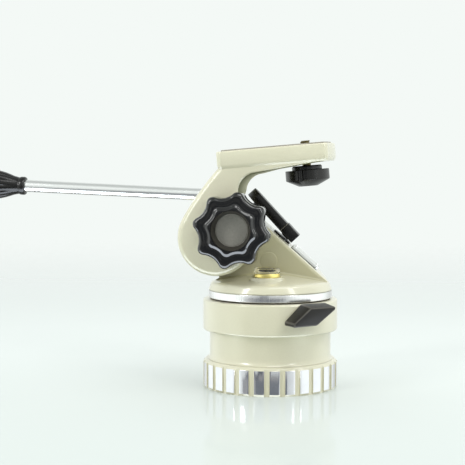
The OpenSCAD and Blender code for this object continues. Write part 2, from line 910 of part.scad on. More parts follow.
module thrust_washer() {
    color(fibre) at_tilt()
        y_tube(shaft_flange_r, shaft_r + snug, tower_far + slip, tower_far + slip + thrust_washer_t);
}

module knob_washer() {
    color(steel) at_arm() y_tube(stud_washer_r, stud_r + snug, y_side - knob_washer_t, y_side);
}

module pan_bar() {
    color(alloy) at_bar() translate([0, 0, snug - bar_in])
        cylinder(r = bar_r, h = bar_in - snug + bar_bare + grip_l - grip_wall_end - snug);
}

// Radius of the grip at a distance along it: a flare to the middle, then a slight taper
function grip_radius(s) = s < grip_flare
    ? grip_collar_r + (grip_r - grip_collar_r) * pow(sin(90 * flare_share(s)), 0.7)
    : grip_r - grip_slim * pow((s - grip_flare) / (grip_l - grip_flare), 2);

function flare_share(s) = (s - grip_collar_l) / (grip_flare - grip_collar_l);

module grip() {
    body_end = grip_l - grip_end_r;
    color(bakelite) at_bar() translate([0, 0, bar_bare]) difference() {
        rotate_extrude() {
            polygon(concat(
                [[bar_r + snug, 0], [grip_collar_r - 0.5, 0], [grip_collar_r, 0.8]],
                [for (i = [0 : grip_steps])
                    let (s = grip_collar_l + i * (body_end - grip_collar_l) / grip_steps) [grip_radius(s), s]],
                [[0, body_end], [0, grip_l - grip_wall_end], [bar_r + snug, grip_l - grip_wall_end]]));
            translate([0, body_end]) square([grip_radius(body_end) - grip_end_r, grip_end_r]);
            translate([grip_radius(body_end) - grip_end_r, body_end]) intersection() {
                circle(r = grip_end_r);
                square(grip_end_r);
            }
        }
        for (i = [0 : grip_flutes - 1])
            rotate([0, 0, i * 360 / grip_flutes])
                translate([grip_r + 0.4, 0, 2 * grip_collar_l]) cylinder(r = flute_r, h = grip_l, $fn = 24);
    }
}

// Tilt knob

module knob_outline() {
    difference() {
        circle(r = norm(tip_join));
        for (i = [0 : knob_lobes - 1])
            rotate((i + 0.5) * 360 / knob_lobes) translate([scallop_d, 0]) circle(r = scallop_r);
    }
    for (i = [0 : knob_lobes - 1])
        rotate(i * 360 / knob_lobes) translate([tip_d - tip_lap, 0]) circle(r = tip_r + tip_lap);
}

// Turned form that rounds the knob's front edge
module knob_turning() {
    rotate_extrude() {
        translate([0, knob_round]) square([turn_r, knob_h - knob_round]);
        square([turn_r - knob_round, knob_h]);
        translate([turn_r - knob_round, knob_round]) intersection() {
            circle(r = knob_round);
            translate([0, -knob_round]) square(knob_round);
        }
    }
}

module tilt_knob() {
    color(bakelite) at_tilt() difference() {
        translate([0, y_knob - knob_h, 0]) rotate([-90, 0, 0]) intersection() {
            linear_extrude(knob_h) rotate(-knob_phase) knob_outline();
            knob_turning();
        }
        y_rod(recess_r, y_knob - knob_h - 1, y_recess);
        y_rod(insert_r + snug, y_recess - 1, y_knob + 1);
    }
}

module knob_insert() {
    color(brass) at_tilt() y_tube(insert_r, stud_r + fit, y_recess, y_knob);
}

module knob_disc() {
    color("#8d8f8c") at_tilt() y_rod(disc_r, y_recess - disc_t, y_recess);
}

// Tilt lock

module lever_plan(x0, x1) {
    end_r = lever_w / 2;
    translate([x0 + end_r, 0]) circle(r = end_r);
    translate([x0 + end_r, -end_r]) square([x1 - x0 - end_r, lever_w]);
}

module tilt_lever() {
    color(bakelite) at_tilt_lock() difference() {
        union() {
            translate([0, 0, lever_in]) linear_extrude(lever_t) lever_plan(-lever_short, lever_long);
            translate([lever_long - lever_tip, -lever_w / 2, lever_in])
                cube([lever_tip, lever_w, lever_t + tip_extra]);
            translate([0, 0, head_r + hub_lift])
                cylinder(r = lever_hub_r, h = lever_in - head_r - hub_lift + 1);
        }
        cylinder(r = lock_screw_r + snug, h = lever_in + screw_bite);
    }
}

module tilt_lever_screw() {
    color(steel) at_tilt_lock() translate([0, 0, tilt_screw_in])
        cylinder(r = lock_screw_r, h = lever_in + screw_bite - snug - tilt_screw_in);
}

module tilt_brake_shoe() {
    color(brass) at_tilt_lock() difference() {
        translate([0, 0, tilt_shoe_face - shoe_hollow])
            cylinder(r = lock_screw_r, h = tilt_shoe_l + shoe_hollow);
        y_rod(tilt_shoe_face, -shaft_r, shaft_r);
    }
}

// Camera screw

module camera_screw() {
    groove = cam_clip_t + 2 * fit;
    color(brass) at_camera() difference() {
        union() {
            translate([0, 0, z_cam_low + 1]) cylinder(r = cam_neck_r, h = z_thread - z_cam_low);
            translate([0, 0, z_thread]) cylinder(r = cam_r, h = cam_thread);
        }
        translate([0, 0, z_cam_clip - fit]) tube(cam_r + 1, cam_neck_r - cam_clip_bite - fit, groove);
    }
}

module camera_knob() {
    notch_r = 1.9;
    notch_out = 0.3;
    color(bakelite) at_camera() difference() {
        union() {
            translate([0, 0, z_cam_low]) cylinder(r1 = cam_knob_r - cam_slant, r2 = cam_knob_r, h = cam_cone);
            translate([0, 0, z_cam_low + cam_cone]) cylinder(r = cam_knob_r, h = cam_knob_h - cam_cone);
            translate([0, 0, z_cam_knob - 1]) cylinder(r = cam_flange_r, h = cam_flange_h + 1);
        }
        for (i = [0 : cam_notches - 1])
            rotate([0, 0, cam_turn + i * 360 / cam_notches])
                translate([cam_knob_r + notch_out, 0, z_cam_low - 1]) cylinder(r = notch_r, h = cam_knob_h + 2);
        translate([0, 0, z_cam_low + 1 - snug]) cylinder(r = cam_neck_r + snug, h = plat_top);
    }
}

module screw_clip() {
    color(steel) at_camera() translate([0, 0, z_cam_clip])
        tube(cam_clip_r, cam_neck_r - cam_clip_bite, cam_clip_t);
}

base_casting();
pan_bush();
friction_washer();
base_plate();
base_screws();
ring_clip();
clamp_ring();
pan_head_casting();
pan_ring();
pan_spindle();
spindle_washer();
spindle_nut();
flange_screws();
level_cup();
level_fluid();
level_lens();
name_plate();
plate_rivets();
core_plug();
tilt_bush_near();
tilt_bush_far();
pan_lever();
pan_lever_screw();
pan_brake_shoe();
arm_casting();
platform_pad();
tilt_shaft();
shaft_key();
tilt_washer();
thrust_washer();
knob_washer();
pan_bar();
grip();
tilt_knob();
knob_insert();
knob_disc();
tilt_lever();
tilt_lever_screw();
tilt_brake_shoe();
camera_screw();
camera_knob();
screw_clip();
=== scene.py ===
# Pan and tilt head: cream enamelled castings, polished black bakelite controls, bright turned rings.
import math
import bmesh
import bpy
from mathutils import Matrix, Vector


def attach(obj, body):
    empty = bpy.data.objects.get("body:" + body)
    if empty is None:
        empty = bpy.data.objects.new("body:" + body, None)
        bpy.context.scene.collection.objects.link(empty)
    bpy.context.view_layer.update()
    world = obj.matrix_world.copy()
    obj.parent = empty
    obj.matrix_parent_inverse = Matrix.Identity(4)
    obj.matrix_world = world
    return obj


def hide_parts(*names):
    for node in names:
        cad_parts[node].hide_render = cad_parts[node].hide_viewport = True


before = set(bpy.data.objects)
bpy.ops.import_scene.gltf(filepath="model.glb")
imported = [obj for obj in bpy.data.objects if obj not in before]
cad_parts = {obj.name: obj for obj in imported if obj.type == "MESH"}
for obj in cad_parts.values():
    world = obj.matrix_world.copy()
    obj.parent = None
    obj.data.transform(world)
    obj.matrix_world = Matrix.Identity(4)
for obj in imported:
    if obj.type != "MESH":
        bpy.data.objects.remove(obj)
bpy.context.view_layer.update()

MM = 0.001
TURN = 2 * math.pi
SHARP = 32  # faces that meet at more degrees than this show an edge
VERT, EDGE, FACE = bmesh.types.BMVert, bmesh.types.BMEdge, bmesh.types.BMFace


def shift(x, y, z):
    return Matrix.Translation((x, y, z))


def turn(degrees, axis):
    return Matrix.Rotation(math.radians(degrees), 4, axis)


# Places of the pieces, in millimetres and degrees, as in the solid model
TILT_AXIS = (-20.6, 0, 102.6)
ARM_LEAN, BAR_RISE, SLOPE_LEAN = -4.7, 7.4, 41.6
TOWER_NEAR = -5.4  # the side of the tower that faces the knob
LOCK_HOLE_R = 3.05  # of the two lock screws
HEAD = Matrix.Identity(4)
TILT = shift(*TILT_AXIS)
ARM = TILT @ turn(ARM_LEAN, "Y")
# Side views of the arm and the tower: X to the nose, Y up, Z towards the knob
ARM_SIDE = ARM @ turn(90, "X")
TOWER_SIDE = TILT @ turn(90, "X")
SLOPE = TILT @ turn(SLOPE_LEAN, "Y")
TILT_LOCK = TILT @ shift(0, 12, 0) @ turn(47.4, "Y")
PAN_LOCK = shift(0, 0, 50.5) @ turn(33, "Z") @ turn(90, "X")
BAR = ARM @ shift(-19.2, -17.25, 23.0) @ turn(BAR_RISE - 90, "Y")
CAMERA_SCREW = ARM @ shift(47.2, 0, 0)
LEVEL = shift(-0.5, -19.7, 72.0)

# ---- Finishes

# A colour Mix takes its two colours at inputs 6 and 7 and gives the result at output 2
COLOUR = {"data_type": "RGBA"}


def linear(code):
    """sRGB hex to the linear colour that a shader takes."""
    parts = [int(code[i:i + 2], 16) / 255 for i in (1, 3, 5)]
    return [p / 12.92 if p <= 0.04045 else ((p + 0.055) / 1.055) ** 2.4 for p in parts] + [1.0]


def add(tree, kind, settings=None, **links):
    """Adds a node with its settings; each input, by name or as i and its number, gets a value or a link."""
    node = tree.nodes.new(kind)
    for key, value in (settings or {}).items():
        setattr(node, key, value)
    for key, value in links.items():
        number = key[1:].isdigit() and key[0] == "i"
        place = node.inputs[int(key[1:]) if number else key.replace("_", " ")]
        if isinstance(value, bpy.types.NodeSocket):
            tree.links.new(value, place)
        else:
            place.default_value = value
    return node


def finish(name, shader):
    """A material with a Principled surface that has these plain values, and its Object coordinates."""
    material = bpy.data.materials.new(name)
    material.use_nodes = True
    tree = material.node_tree
    tree.nodes.clear()
    surface = add(tree, "ShaderNodeBsdfPrincipled")
    for key, value in shader.items():
        surface.inputs[key].default_value = value
    add(tree, "ShaderNodeOutputMaterial", Surface=surface.outputs["BSDF"])
    place = add(tree, "ShaderNodeTexCoord").outputs["Object"]
    return material, tree, surface, place


def wire(tree, surface, **sources):
    """Leads node outputs to the inputs of the surface that they are named for."""
    for key, source in sources.items():
        tree.links.new(source, surface.inputs[key.replace("_", " ")])


# Stove enamel on cast alloy: warm grey-cream and glossy, with the orange peel of sprayed paint
# and a slow drift in tone from years of handling.
def make_enamel():
    material, tree, surface, place = finish(
        "cream stove enamel", {"IOR": 1.5, "Coat Weight": 0.6, "Coat Roughness": 0.07})
    drift = add(tree, "ShaderNodeTexNoise", Vector=place, Scale=1 / (45 * MM), Detail=3.0)
    speck = add(tree, "ShaderNodeTexNoise", Vector=place, Scale=1 / (0.9 * MM), Detail=2.0)
    peel = add(tree, "ShaderNodeTexNoise", Vector=place, Scale=1 / (2.4 * MM), Detail=1.0)
    tone = add(tree, "ShaderNodeMix", COLOUR, i0=drift.outputs["Fac"], i6=linear("#d0cdb2"), i7=linear("#d5d2b9"))
    fine = add(tree, "ShaderNodeMix", {**COLOUR, "blend_type": "MULTIPLY"}, i0=0.07, i6=tone.outputs[2],
               i7=speck.outputs["Fac"])
    gloss = add(tree, "ShaderNodeMapRange", Value=drift.outputs["Fac"], To_Min=0.26, To_Max=0.31)
    bump = add(tree, "ShaderNodeBump", Strength=0.04, Distance=0.2 * MM, Height=peel.outputs["Fac"])
    wire(tree, surface, Base_Color=fine.outputs[2], Roughness=gloss.outputs[0], Normal=bump.outputs["Normal"])
    return material


# Enamel with painted shade: a cloudy fade along one axis, from the shaded end to the lit paint.
def make_shaded(name, shader, axis, easing, blot, spread, shade_end, lit_end):
    """The shaded end and the lit end are each a place on the axis, in millimetres, and the colour there."""
    material, tree, surface, place = finish(name, {"IOR": 1.5, **shader})
    along = add(tree, "ShaderNodeSeparateXYZ", Vector=place)
    cloud = add(tree, "ShaderNodeTexNoise", Vector=place, Scale=1 / (blot * MM), Detail=3.0)
    reach = add(tree, "ShaderNodeMath", {"operation": "MULTIPLY_ADD"}, i0=cloud.outputs["Fac"], i1=spread * MM,
                i2=along.outputs[axis])
    fade = add(tree, "ShaderNodeMapRange", {"interpolation_type": easing}, Value=reach.outputs[0],
               From_Min=shade_end[0] * MM, From_Max=lit_end[0] * MM)
    tone = add(tree, "ShaderNodeMix", COLOUR, i0=fade.outputs[0], i6=linear(shade_end[1]), i7=linear(lit_end[1]))
    wire(tree, surface, Base_Color=tone.outputs[2])
    return material


# Bakelite and phenolic: near black, clouded by the wood flour in the resin, with fine rub marks.
# Black stove enamel on the wing lever has the same make-up, only duller.
def make_black(name, low, high, rough, shine=0.5):
    material, tree, surface, place = finish(name, {"IOR": 1.58, "Specular IOR Level": shine})
    cloud = add(tree, "ShaderNodeTexNoise", Vector=place, Scale=1 / (9 * MM), Detail=4.0)
    rub = add(tree, "ShaderNodeTexNoise", Vector=place, Scale=1 / (1.6 * MM), Detail=5.0, Roughness=0.7)
    tone = add(tree, "ShaderNodeMix", COLOUR, i0=cloud.outputs["Fac"], i6=linear(low), i7=linear(high))
    gloss = add(tree, "ShaderNodeMapRange", Value=rub.outputs["Fac"], From_Min=0.3, From_Max=0.7,
                To_Min=rough - 0.04, To_Max=rough + 0.06)
    bump = add(tree, "ShaderNodeBump", Strength=0.025, Distance=0.1 * MM, Height=rub.outputs["Fac"])
    wire(tree, surface, Base_Color=tone.outputs[2], Roughness=gloss.outputs[0], Normal=bump.outputs["Normal"])
    return material


# Lathe-turned metal: the tool leaves fine lines around the axis, drawn wider than life so that they show.
def make_turned(name, low, high, rough, pitch, strength, axis="Z"):
    material, tree, surface, place = finish(name, {"Metallic": 1.0})
    lines = add(tree, "ShaderNodeTexWave", {"wave_type": "BANDS", "bands_direction": axis, "wave_profile": "SIN"},
                Vector=place, Scale=1 / (pitch * MM) / math.pi, Distortion=0.6, Detail=2.0)
    haze = add(tree, "ShaderNodeTexNoise", Vector=place, Scale=1 / (8 * MM), Detail=2.0)
    tone = add(tree, "ShaderNodeMix", COLOUR, i0=haze.outputs["Fac"], i6=linear(low), i7=linear(high))
    gloss = add(tree, "ShaderNodeMapRange", Value=haze.outputs["Fac"], From_Min=0.3, From_Max=0.7,
                To_Min=rough - 0.02, To_Max=rough + 0.03)
    bump = add(tree, "ShaderNodeBump", Strength=strength, Distance=0.05 * MM, Height=lines.outputs["Fac"])
    wire(tree, surface, Base_Color=tone.outputs[2], Roughness=gloss.outputs[0], Normal=bump.outputs["Normal"])
    return material


# The ring under the dish was faced and then rubbed along its axis: upright streaks break its reflections.
def make_bright_ring():
    round_it, streak_w = 251, 0.9  # mm; the streaks are wider than life so that they show
    material, tree, surface, place = finish("axially rubbed aluminium", {"Metallic": 1.0})
    around = add(tree, "ShaderNodeTexGradient", {"gradient_type": "RADIAL"}, Vector=place)
    streak = add(tree, "ShaderNodeTexNoise", {"noise_dimensions": "1D"}, W=around.outputs["Fac"],
                 Scale=round_it / streak_w, Detail=3.0)
    tone = add(tree, "ShaderNodeMix", COLOUR, i0=streak.outputs["Fac"], i6=linear("#c6c6c7"), i7=linear("#dededd"))
    gloss = add(tree, "ShaderNodeMapRange", Value=streak.outputs["Fac"], From_Min=0.3, From_Max=0.7,
                To_Min=0.2, To_Max=0.27)
    bump = add(tree, "ShaderNodeBump", Strength=0.1, Distance=0.05 * MM, Height=streak.outputs["Fac"])
    wire(tree, surface, Base_Color=tone.outputs[2], Roughness=gloss.outputs[0], Normal=bump.outputs["Normal"])
    return material


# Chromed drawn bar: bright, with faint draw marks that run its whole length.
def make_bar_finish():
    material, tree, surface, place = finish("chromed drawn bar", {"Metallic": 1.0})
    along = add(tree, "ShaderNodeMapping", {"vector_type": "TEXTURE"}, Vector=place,
                Rotation=(0, math.radians(BAR_RISE + ARM_LEAN), 0), Scale=(40.0, 1.0, 1.0))
    draw = add(tree, "ShaderNodeTexNoise", Vector=along.outputs[0], Scale=1 / (0.8 * MM), Detail=2.0)
    tone = add(tree, "ShaderNodeMix", COLOUR, i0=draw.outputs["Fac"], i6=linear("#e3e5e4"), i7=linear("#f4f5f4"))
    gloss = add(tree, "ShaderNodeMapRange", Value=draw.outputs["Fac"], From_Min=0.3, From_Max=0.7,
                To_Min=0.21, To_Max=0.23)
    wire(tree, surface, Base_Color=tone.outputs[2], Roughness=gloss.outputs[0])
    return material


# Vulcanised fibre, rubbered cork and lacquer: dull, with a short felted grain.
def make_dull(name, low, high, rough, grain, strength):
    material, tree, surface, place = finish(name, {"IOR": 1.5, "Roughness": rough})
    grit = add(tree, "ShaderNodeTexNoise", Vector=place, Scale=1 / (grain * MM), Detail=4.0, Roughness=0.65)
    tone = add(tree, "ShaderNodeMix", COLOUR, i0=grit.outputs["Fac"], i6=linear(low), i7=linear(high))
    bump = add(tree, "ShaderNodeBump", Strength=strength, Distance=0.15 * MM, Height=grit.outputs["Fac"])
    wire(tree, surface, Base_Color=tone.outputs[2], Normal=bump.outputs["Normal"])
    return material


# Cast acrylic of the level's cap: water clear, with the slow ripple of a polished moulding.
def make_clear():
    material, tree, surface, place = finish(
        "clear acrylic", {"IOR": 1.49, "Roughness": 0.02, "Transmission Weight": 1.0})
    ripple = add(tree, "ShaderNodeTexNoise", Vector=place, Scale=1 / (4 * MM), Detail=1.0)
    tone = add(tree, "ShaderNodeMix", COLOUR, i0=ripple.outputs["Fac"], i6=linear("#f4ecd2"), i7=linear("#fffdf0"))
    wire(tree, surface, Base_Color=tone.outputs[2])
    return material


enamel = make_enamel()
# Inside the crook: painted shade, a duller and darker enamel, darkest at its front edge
crook_shade = make_shaded("enamel with painted shade in the crook", {"Specular IOR Level": 0.15, "Roughness": 0.6}, "Y", "LINEAR",
                      6, 4, (-24, "#6c6d4f"), (-1, "#c9c7ab"))
# The tower's side: painted shade, darker and yellower, deepest towards the corner under the arm
tower_shade = make_shaded("enamel with painted shade under the arm", {"Roughness": 0.34}, "X", "SMOOTHSTEP", 7, 5, (-33, "#6f6b4d"),
                     (-11, "#b5b190"))
bakelite = make_black("polished black bakelite", "#070708", "#0f0f10", 0.09)
phenolic = make_black("moulded black phenolic", "#060605", "#100f0e", 0.26, shine=0.3)
black_enamel = make_black("black stove enamel", "#0f0e0c", "#1b1916", 0.42, shine=0.2)
# Painted highlight: pale phenolic for the bevel across the tilt lever, standing for the light it catches
highlight_edge = make_black("black phenolic with a painted highlight at the edge", "#6e6b64", "#86837a", 0.45, shine=0.3)
dulled_bakelite = make_black("dulled black bakelite", "#26241f", "#3a372f", 0.5, shine=0.3)
# Paler black enamel for every edge of the pan wing
pale_edged_enamel = make_black("black enamel paler at the edges", "#302e29", "#4a4740", 0.4, shine=0.3)
bright_ring = make_bright_ring()
bright_land = make_turned("diamond-turned aluminium", "#c3c4c9", "#d2d3d7", 0.1, 0.5, 0.02)
chrome_bar = make_bar_finish()
machined = make_turned("machined steel", "#8f9397", "#a8acb0", 0.3, 0.6, 0.2)
lacquered_brass = make_turned("lacquered brass", "#dfcb72", "#ecdf98", 0.34, 0.5, 0.05)
# Painted shade: the screw's brass is darkened for the shade in its thread and under the platform
shaded_brass = make_turned("brass thread painted dark as shade", "#4f4730", "#71653f", 0.4, 0.6, 0.05)
bronze = make_turned("bearing bronze", "#a9814a", "#bb955c", 0.32, 0.6, 0.2, axis="Y")
rolled_plate = make_turned("rolled aluminium plate", "#dfe0dd", "#eeefec", 0.3, 0.7, 0.02, axis="Y")
fibre = make_dull("vulcanised fibre", "#241d18", "#3a3029", 0.75, 0.8, 0.3)
pad_sheet = make_dull("grey rubbered cork sheet", "#8a867c", "#a5a196", 0.8, 1.1, 0.4)
grey_disc = make_dull("grey lacquered disc", "#706e66", "#8d8b82", 0.38, 1.4, 0.08)
# Painted shadow: black for the plate's edge, where its shadow falls on the slope
shadow_edge = make_dull("black painted shadow under the plate", "#0d0d0c", "#1b1a18", 0.5, 0.9, 0.1)
clear_cap = make_clear()
spirit = make_dull("dark level spirit", "#060704", "#11130b", 0.25, 3.0, 0.02)

# ---- Ways of shaping, all in millimetres


def of_kind(geom, kind):
    """The vertices, edges or faces among an operator's results."""
    return [g for g in geom if isinstance(g, kind)]


def whole(bm):
    return bm.verts[:] + bm.edges[:] + bm.faces[:]


def height(face):
    return face.calc_center_median().z


def outline(bm, corners, closed=True):
    """Joins corners by edges, and gives both, ready to spin."""
    made = [bm.verts.new(c) for c in corners]
    following = made[1:] + (made[:1] if closed else [])
    return made + [bm.edges.new(pair) for pair in zip(made, following)]


def turned(profile, closed=True, steps=96):
    """Spins a profile of (radius, height) corners about Z."""
    bm = bmesh.new()
    section = outline(bm, [(r, 0, z) for r, z in profile], closed)
    bmesh.ops.spin(bm, geom=section, axis=(0, 0, 1), cent=(0, 0, 0), angle=TURN, steps=steps, use_merge=True)
    bmesh.ops.remove_doubles(bm, verts=bm.verts, dist=1e-4)
    bmesh.ops.recalc_face_normals(bm, faces=bm.faces)
    return bm


def rod(radius, low, high, steps):
    """A plain round stub along Z, as a cutter or as part of a piece."""
    return turned([(0, low), (radius, low), (radius, high), (0, high)], closed=False, steps=steps)


def bevel(bm, edges, size, steps=4):
    return bmesh.ops.bevel(bm, geom=edges, offset=size, offset_type="OFFSET", segments=steps, profile=0.5,
                           affect="EDGES", material=-1, clamp_overlap=False)["faces"]


def ring_edges(bm, *rings):
    """The edges of a turned piece that lie on circles, each given by its radius and height."""
    return [e for r, z in rings for e in bm.edges
            if all(abs(math.hypot(v.co.x, v.co.y) - r) < 2e-3 and abs(v.co.z - z) < 2e-3 for v in e.verts)]


def traced(start, *moves):
    """Draws a closed outline in X and Y and fills it; a move is a corner or an arc (centre, degrees, steps)."""
    bm = bmesh.new()
    here = bm.verts.new((*start, 0))
    for move in moves:
        if len(move) == 2:
            end = bmesh.ops.extrude_vert_indiv(bm, verts=[here])["verts"][0]
            bmesh.ops.translate(bm, verts=[end], vec=Vector((*move, 0)) - end.co)
        else:
            centre, degrees, steps = move
            made = bmesh.ops.spin(bm, geom=[here], axis=(0, 0, 1), cent=(*centre, 0), angle=math.radians(degrees),
                                  steps=steps)
            end = of_kind(made["geom_last"], VERT)[0]
        here = end
    bmesh.ops.remove_doubles(bm, verts=bm.verts, dist=2e-3)
    bmesh.ops.contextual_create(bm, geom=bm.edges[:])
    return bm


def rectangle(x0, y0, x1, y1):
    return traced((x0, y0), (x1, y0), (x1, y1), (x0, y1), (x0, y0))


def slab(bm, low, high):
    """Gives a filled outline its thickness, from one height to another."""
    bmesh.ops.translate(bm, verts=bm.verts, vec=(0, 0, low))
    made = bmesh.ops.extrude_face_region(bm, geom=bm.faces[:], use_keep_orig=True)["geom"]
    bmesh.ops.translate(bm, verts=of_kind(made, VERT), vec=(0, 0, high - low))
    bmesh.ops.recalc_face_normals(bm, faces=bm.faces)


def raised(bm, faces):
    """Extrudes faces without leaving the old ones inside; the new ones are then moved."""
    made = bmesh.ops.extrude_face_region(bm, geom=faces)["geom"]
    bmesh.ops.delete(bm, geom=faces, context="FACES")
    return made


def rim_edges(bm, z):
    """The edges round the flat face at a height."""
    bm.normal_update()
    return [e for e in bm.edges if all(abs(v.co.z - z) < 2e-3 for v in e.verts)
            and abs(e.link_faces[0].normal.dot(e.link_faces[1].normal)) < 0.8]


def paint(faces, test):
    """Gives a piece's second finish to the faces that pass the test."""
    for face in faces:
        face.material_index = 1 if test(face) else 0


def join(bm, other, place=HEAD):
    """Adds another shape's mesh to this one, at a place."""
    other.transform(place)
    loose = bpy.data.meshes.new("loose")
    other.to_mesh(loose)
    other.free()
    bm.from_mesh(loose)
    bpy.data.meshes.remove(loose)


def show(name, data):
    """Puts a mesh, lamp or camera in the scene."""
    made = bpy.data.objects.new(name, data)
    bpy.context.scene.collection.objects.link(made)
    return made


def solid(name, bm, finishes=()):
    """Puts a shape in the scene."""
    mesh = bpy.data.meshes.new(name)
    bm.to_mesh(mesh)
    bm.free()
    for material in finishes:
        mesh.materials.append(material)
    return show(name, mesh)


def piece(name, bm, place, body, stands_for, finishes, sharp=SHARP):
    """Makes the finished piece: its place goes into its mesh, and it rides on its body."""
    bm.transform(Matrix.Scale(MM, 4) @ place)
    made = solid(name, bm, finishes)
    made.data.polygons.foreach_set("use_smooth", [True] * len(made.data.polygons))
    made.data.set_sharp_from_angle(angle=math.radians(sharp))
    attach(made, body)
    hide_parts(*stands_for)
    return made


def cut(made, tool, place):
    """Cuts a tool's shape out of a finished piece."""
    tool.transform(Matrix.Scale(MM, 4) @ place)
    cutter = solid("tool", tool)
    step = made.modifiers.new("cut", "BOOLEAN")
    step.operation = "DIFFERENCE"
    step.solver = "EXACT"
    step.object = cutter
    result = bpy.data.meshes.new_from_object(made.evaluated_get(bpy.context.evaluated_depsgraph_get()))
    made.modifiers.remove(step)
    spent = (made.data, cutter.data)
    made.data = result
    bpy.data.objects.remove(cutter)
    for mesh in spent:
        bpy.data.meshes.remove(mesh)
    result.set_sharp_from_angle(angle=math.radians(SHARP))


# ---- Pieces


# Fixed base: wide collar over a narrower neck that flares to the ring
def make_base():
    bore_r, neck_r, collar_r, collar_low, collar_top = 12.1, 39.2, 43.5, 36.8, 56.8
    hub = [(bore_r, 22), (16.5, 22), (16.5, 43.2), (34, 43.2), (34, 20.15)]
    seat = [(24, 20.15), (24, 11.3), (31, 11.3), (31, 9.3), (34.5, 9.3), (34.5, 18.12)]
    flare = [(40.4, 18.12), (39.7, 19.0), (39.3, 20.3), (neck_r, 22)]
    collar = [(neck_r, collar_low), (collar_r, collar_low), (collar_r, collar_top), (bore_r, collar_top)]
    bm = turned(hub + seat + flare + collar, steps=160)
    bevel(bm, ring_edges(bm, (neck_r, collar_low)), 0.5, 4)
    bevel(bm, ring_edges(bm, (collar_r, collar_low)), 1.3, 6)
    bevel(bm, ring_edges(bm, (collar_r, collar_top)), 1.3, 6)
    base = piece("collar_and_neck", bm, HEAD, "base_body", ["base_casting"], [enamel])
    cut(base, rod(LOCK_HOLE_R, 30, 60, 32), PAN_LOCK)


# Clamp ring: bright lands stand proud of painted grooves
def make_clamp_ring():
    lands, land_w, first_land, land_low, land_top = 28, 8.5, -81.9, 1.4, 16.0
    groove_r, land_r, shoulder, rim = 42.5, 43.5, 17.0, (41.6, 18)
    pitch = 360 / lands
    bm = bmesh.new()
    profile = [(36, 0), (groove_r, 0), (groove_r, shoulder), rim, (34.55, 18), (34.55, 12.5), (37.5, 12.5),
               (37.5, 9), (36, 9)]
    section = outline(bm, [(r, 0, z) for r, z in profile])
    bmesh.ops.rotate(bm, verts=bm.verts, cent=(0, 0, 0),
                     matrix=Matrix.Rotation(math.radians(first_land - land_w / 2), 3, "Z"))
    for _ in range(lands):
        for degrees, steps in ((land_w, 5), (pitch - land_w, 3)):
            section = bmesh.ops.spin(bm, geom=section, axis=(0, 0, 1), cent=(0, 0, 0), angle=math.radians(degrees),
                                     steps=steps)["geom_last"]
    bmesh.ops.remove_doubles(bm, verts=bm.verts, dist=1e-3)
    bmesh.ops.recalc_face_normals(bm, faces=bm.faces)

    def on_land(face):
        centre = face.calc_center_median()
        off = (math.degrees(math.atan2(centre.y, centre.x)) - first_land + pitch / 2) % pitch - pitch / 2
        outside = math.hypot(centre.x, centre.y) > groove_r - 0.3 and land_low < centre.z < land_top
        return abs(off) < land_w / 2 and outside

    made = raised(bm, [f for f in bm.faces if on_land(f)])
    proud = of_kind(made, VERT)
    bmesh.ops.scale(bm, vec=(land_r / groove_r, land_r / groove_r, 1), verts=proud)
    for v in proud:
        v.co.z = land_top if v.co.z > shoulder / 2 else land_low
    tops = of_kind(made, FACE)
    paint(tops, lambda f: True)
    bm.normal_update()
    edges = {e for f in tops for e in f.edges if len(e.link_faces) == 2
             and e.link_faces[0].normal.dot(e.link_faces[1].normal) < 0.8}
    bevel(bm, list(edges), 0.12, 2)
    bevel(bm, ring_edges(bm, rim, (groove_r, shoulder)), 0.4, 3)
    piece("clamp_ring_body", bm, HEAD, "ring_body", ["clamp_ring"], [enamel, bright_land])


# Dish that turns on the collar, the boss that carries the level, and the bright ring below
def make_dish():
    brim, shoulder = (39.9, 62.9), (38.0, 67.7)
    cone = [(35, 68.35), (31, 69.1), (22, 70.7), (10, 72.6), (0, 73.3)]
    bm = turned([(0, 62.4), (39.1, 62.4), (39.1, 62.9), brim, shoulder] + cone, closed=False, steps=160)
    bevel(bm, ring_edges(bm, shoulder), 1.3, 6)
    bevel(bm, ring_edges(bm, brim), 0.2, 3)

    boss_r, foot_r, flare_r = 10.1, 11.4, 1.3
    boss = rod(boss_r, -8, 0, 64)
    bevel(boss, ring_edges(boss, (boss_r, 0)), 0.7, 4)
    # Its foot flares out on the cone of the dish
    flare = [(foot_r - flare_r * math.sin(math.radians(t)), -flare_r * math.cos(math.radians(t)))
             for t in range(0, 91, 15)]
    join(boss, turned([(9, -3)] + flare + [(9, 0)], steps=64), shift(0, 0, -0.15) @ turn(9.8, "X"))

    ring_r, ring_low, ring_top = 39.9, 57.7, 62.35
    ring = turned([(24.1, ring_low), (ring_r, ring_low), (ring_r, ring_top), (24.1, ring_top)], steps=160)
    bevel(ring, ring_edges(ring, (ring_r, ring_low), (ring_r, ring_top)), 0.25, 3)
    piece("bright_pan_ring", ring, HEAD, "pan_body", ["pan_ring"], [bright_ring])
    piece("pan_dish", bm, HEAD, "pan_body", ["pan_head_casting"], [enamel])
    piece("level_boss", boss, LEVEL @ shift(-0.3, 0, 0), "pan_body", ["pan_head_casting"], [enamel])


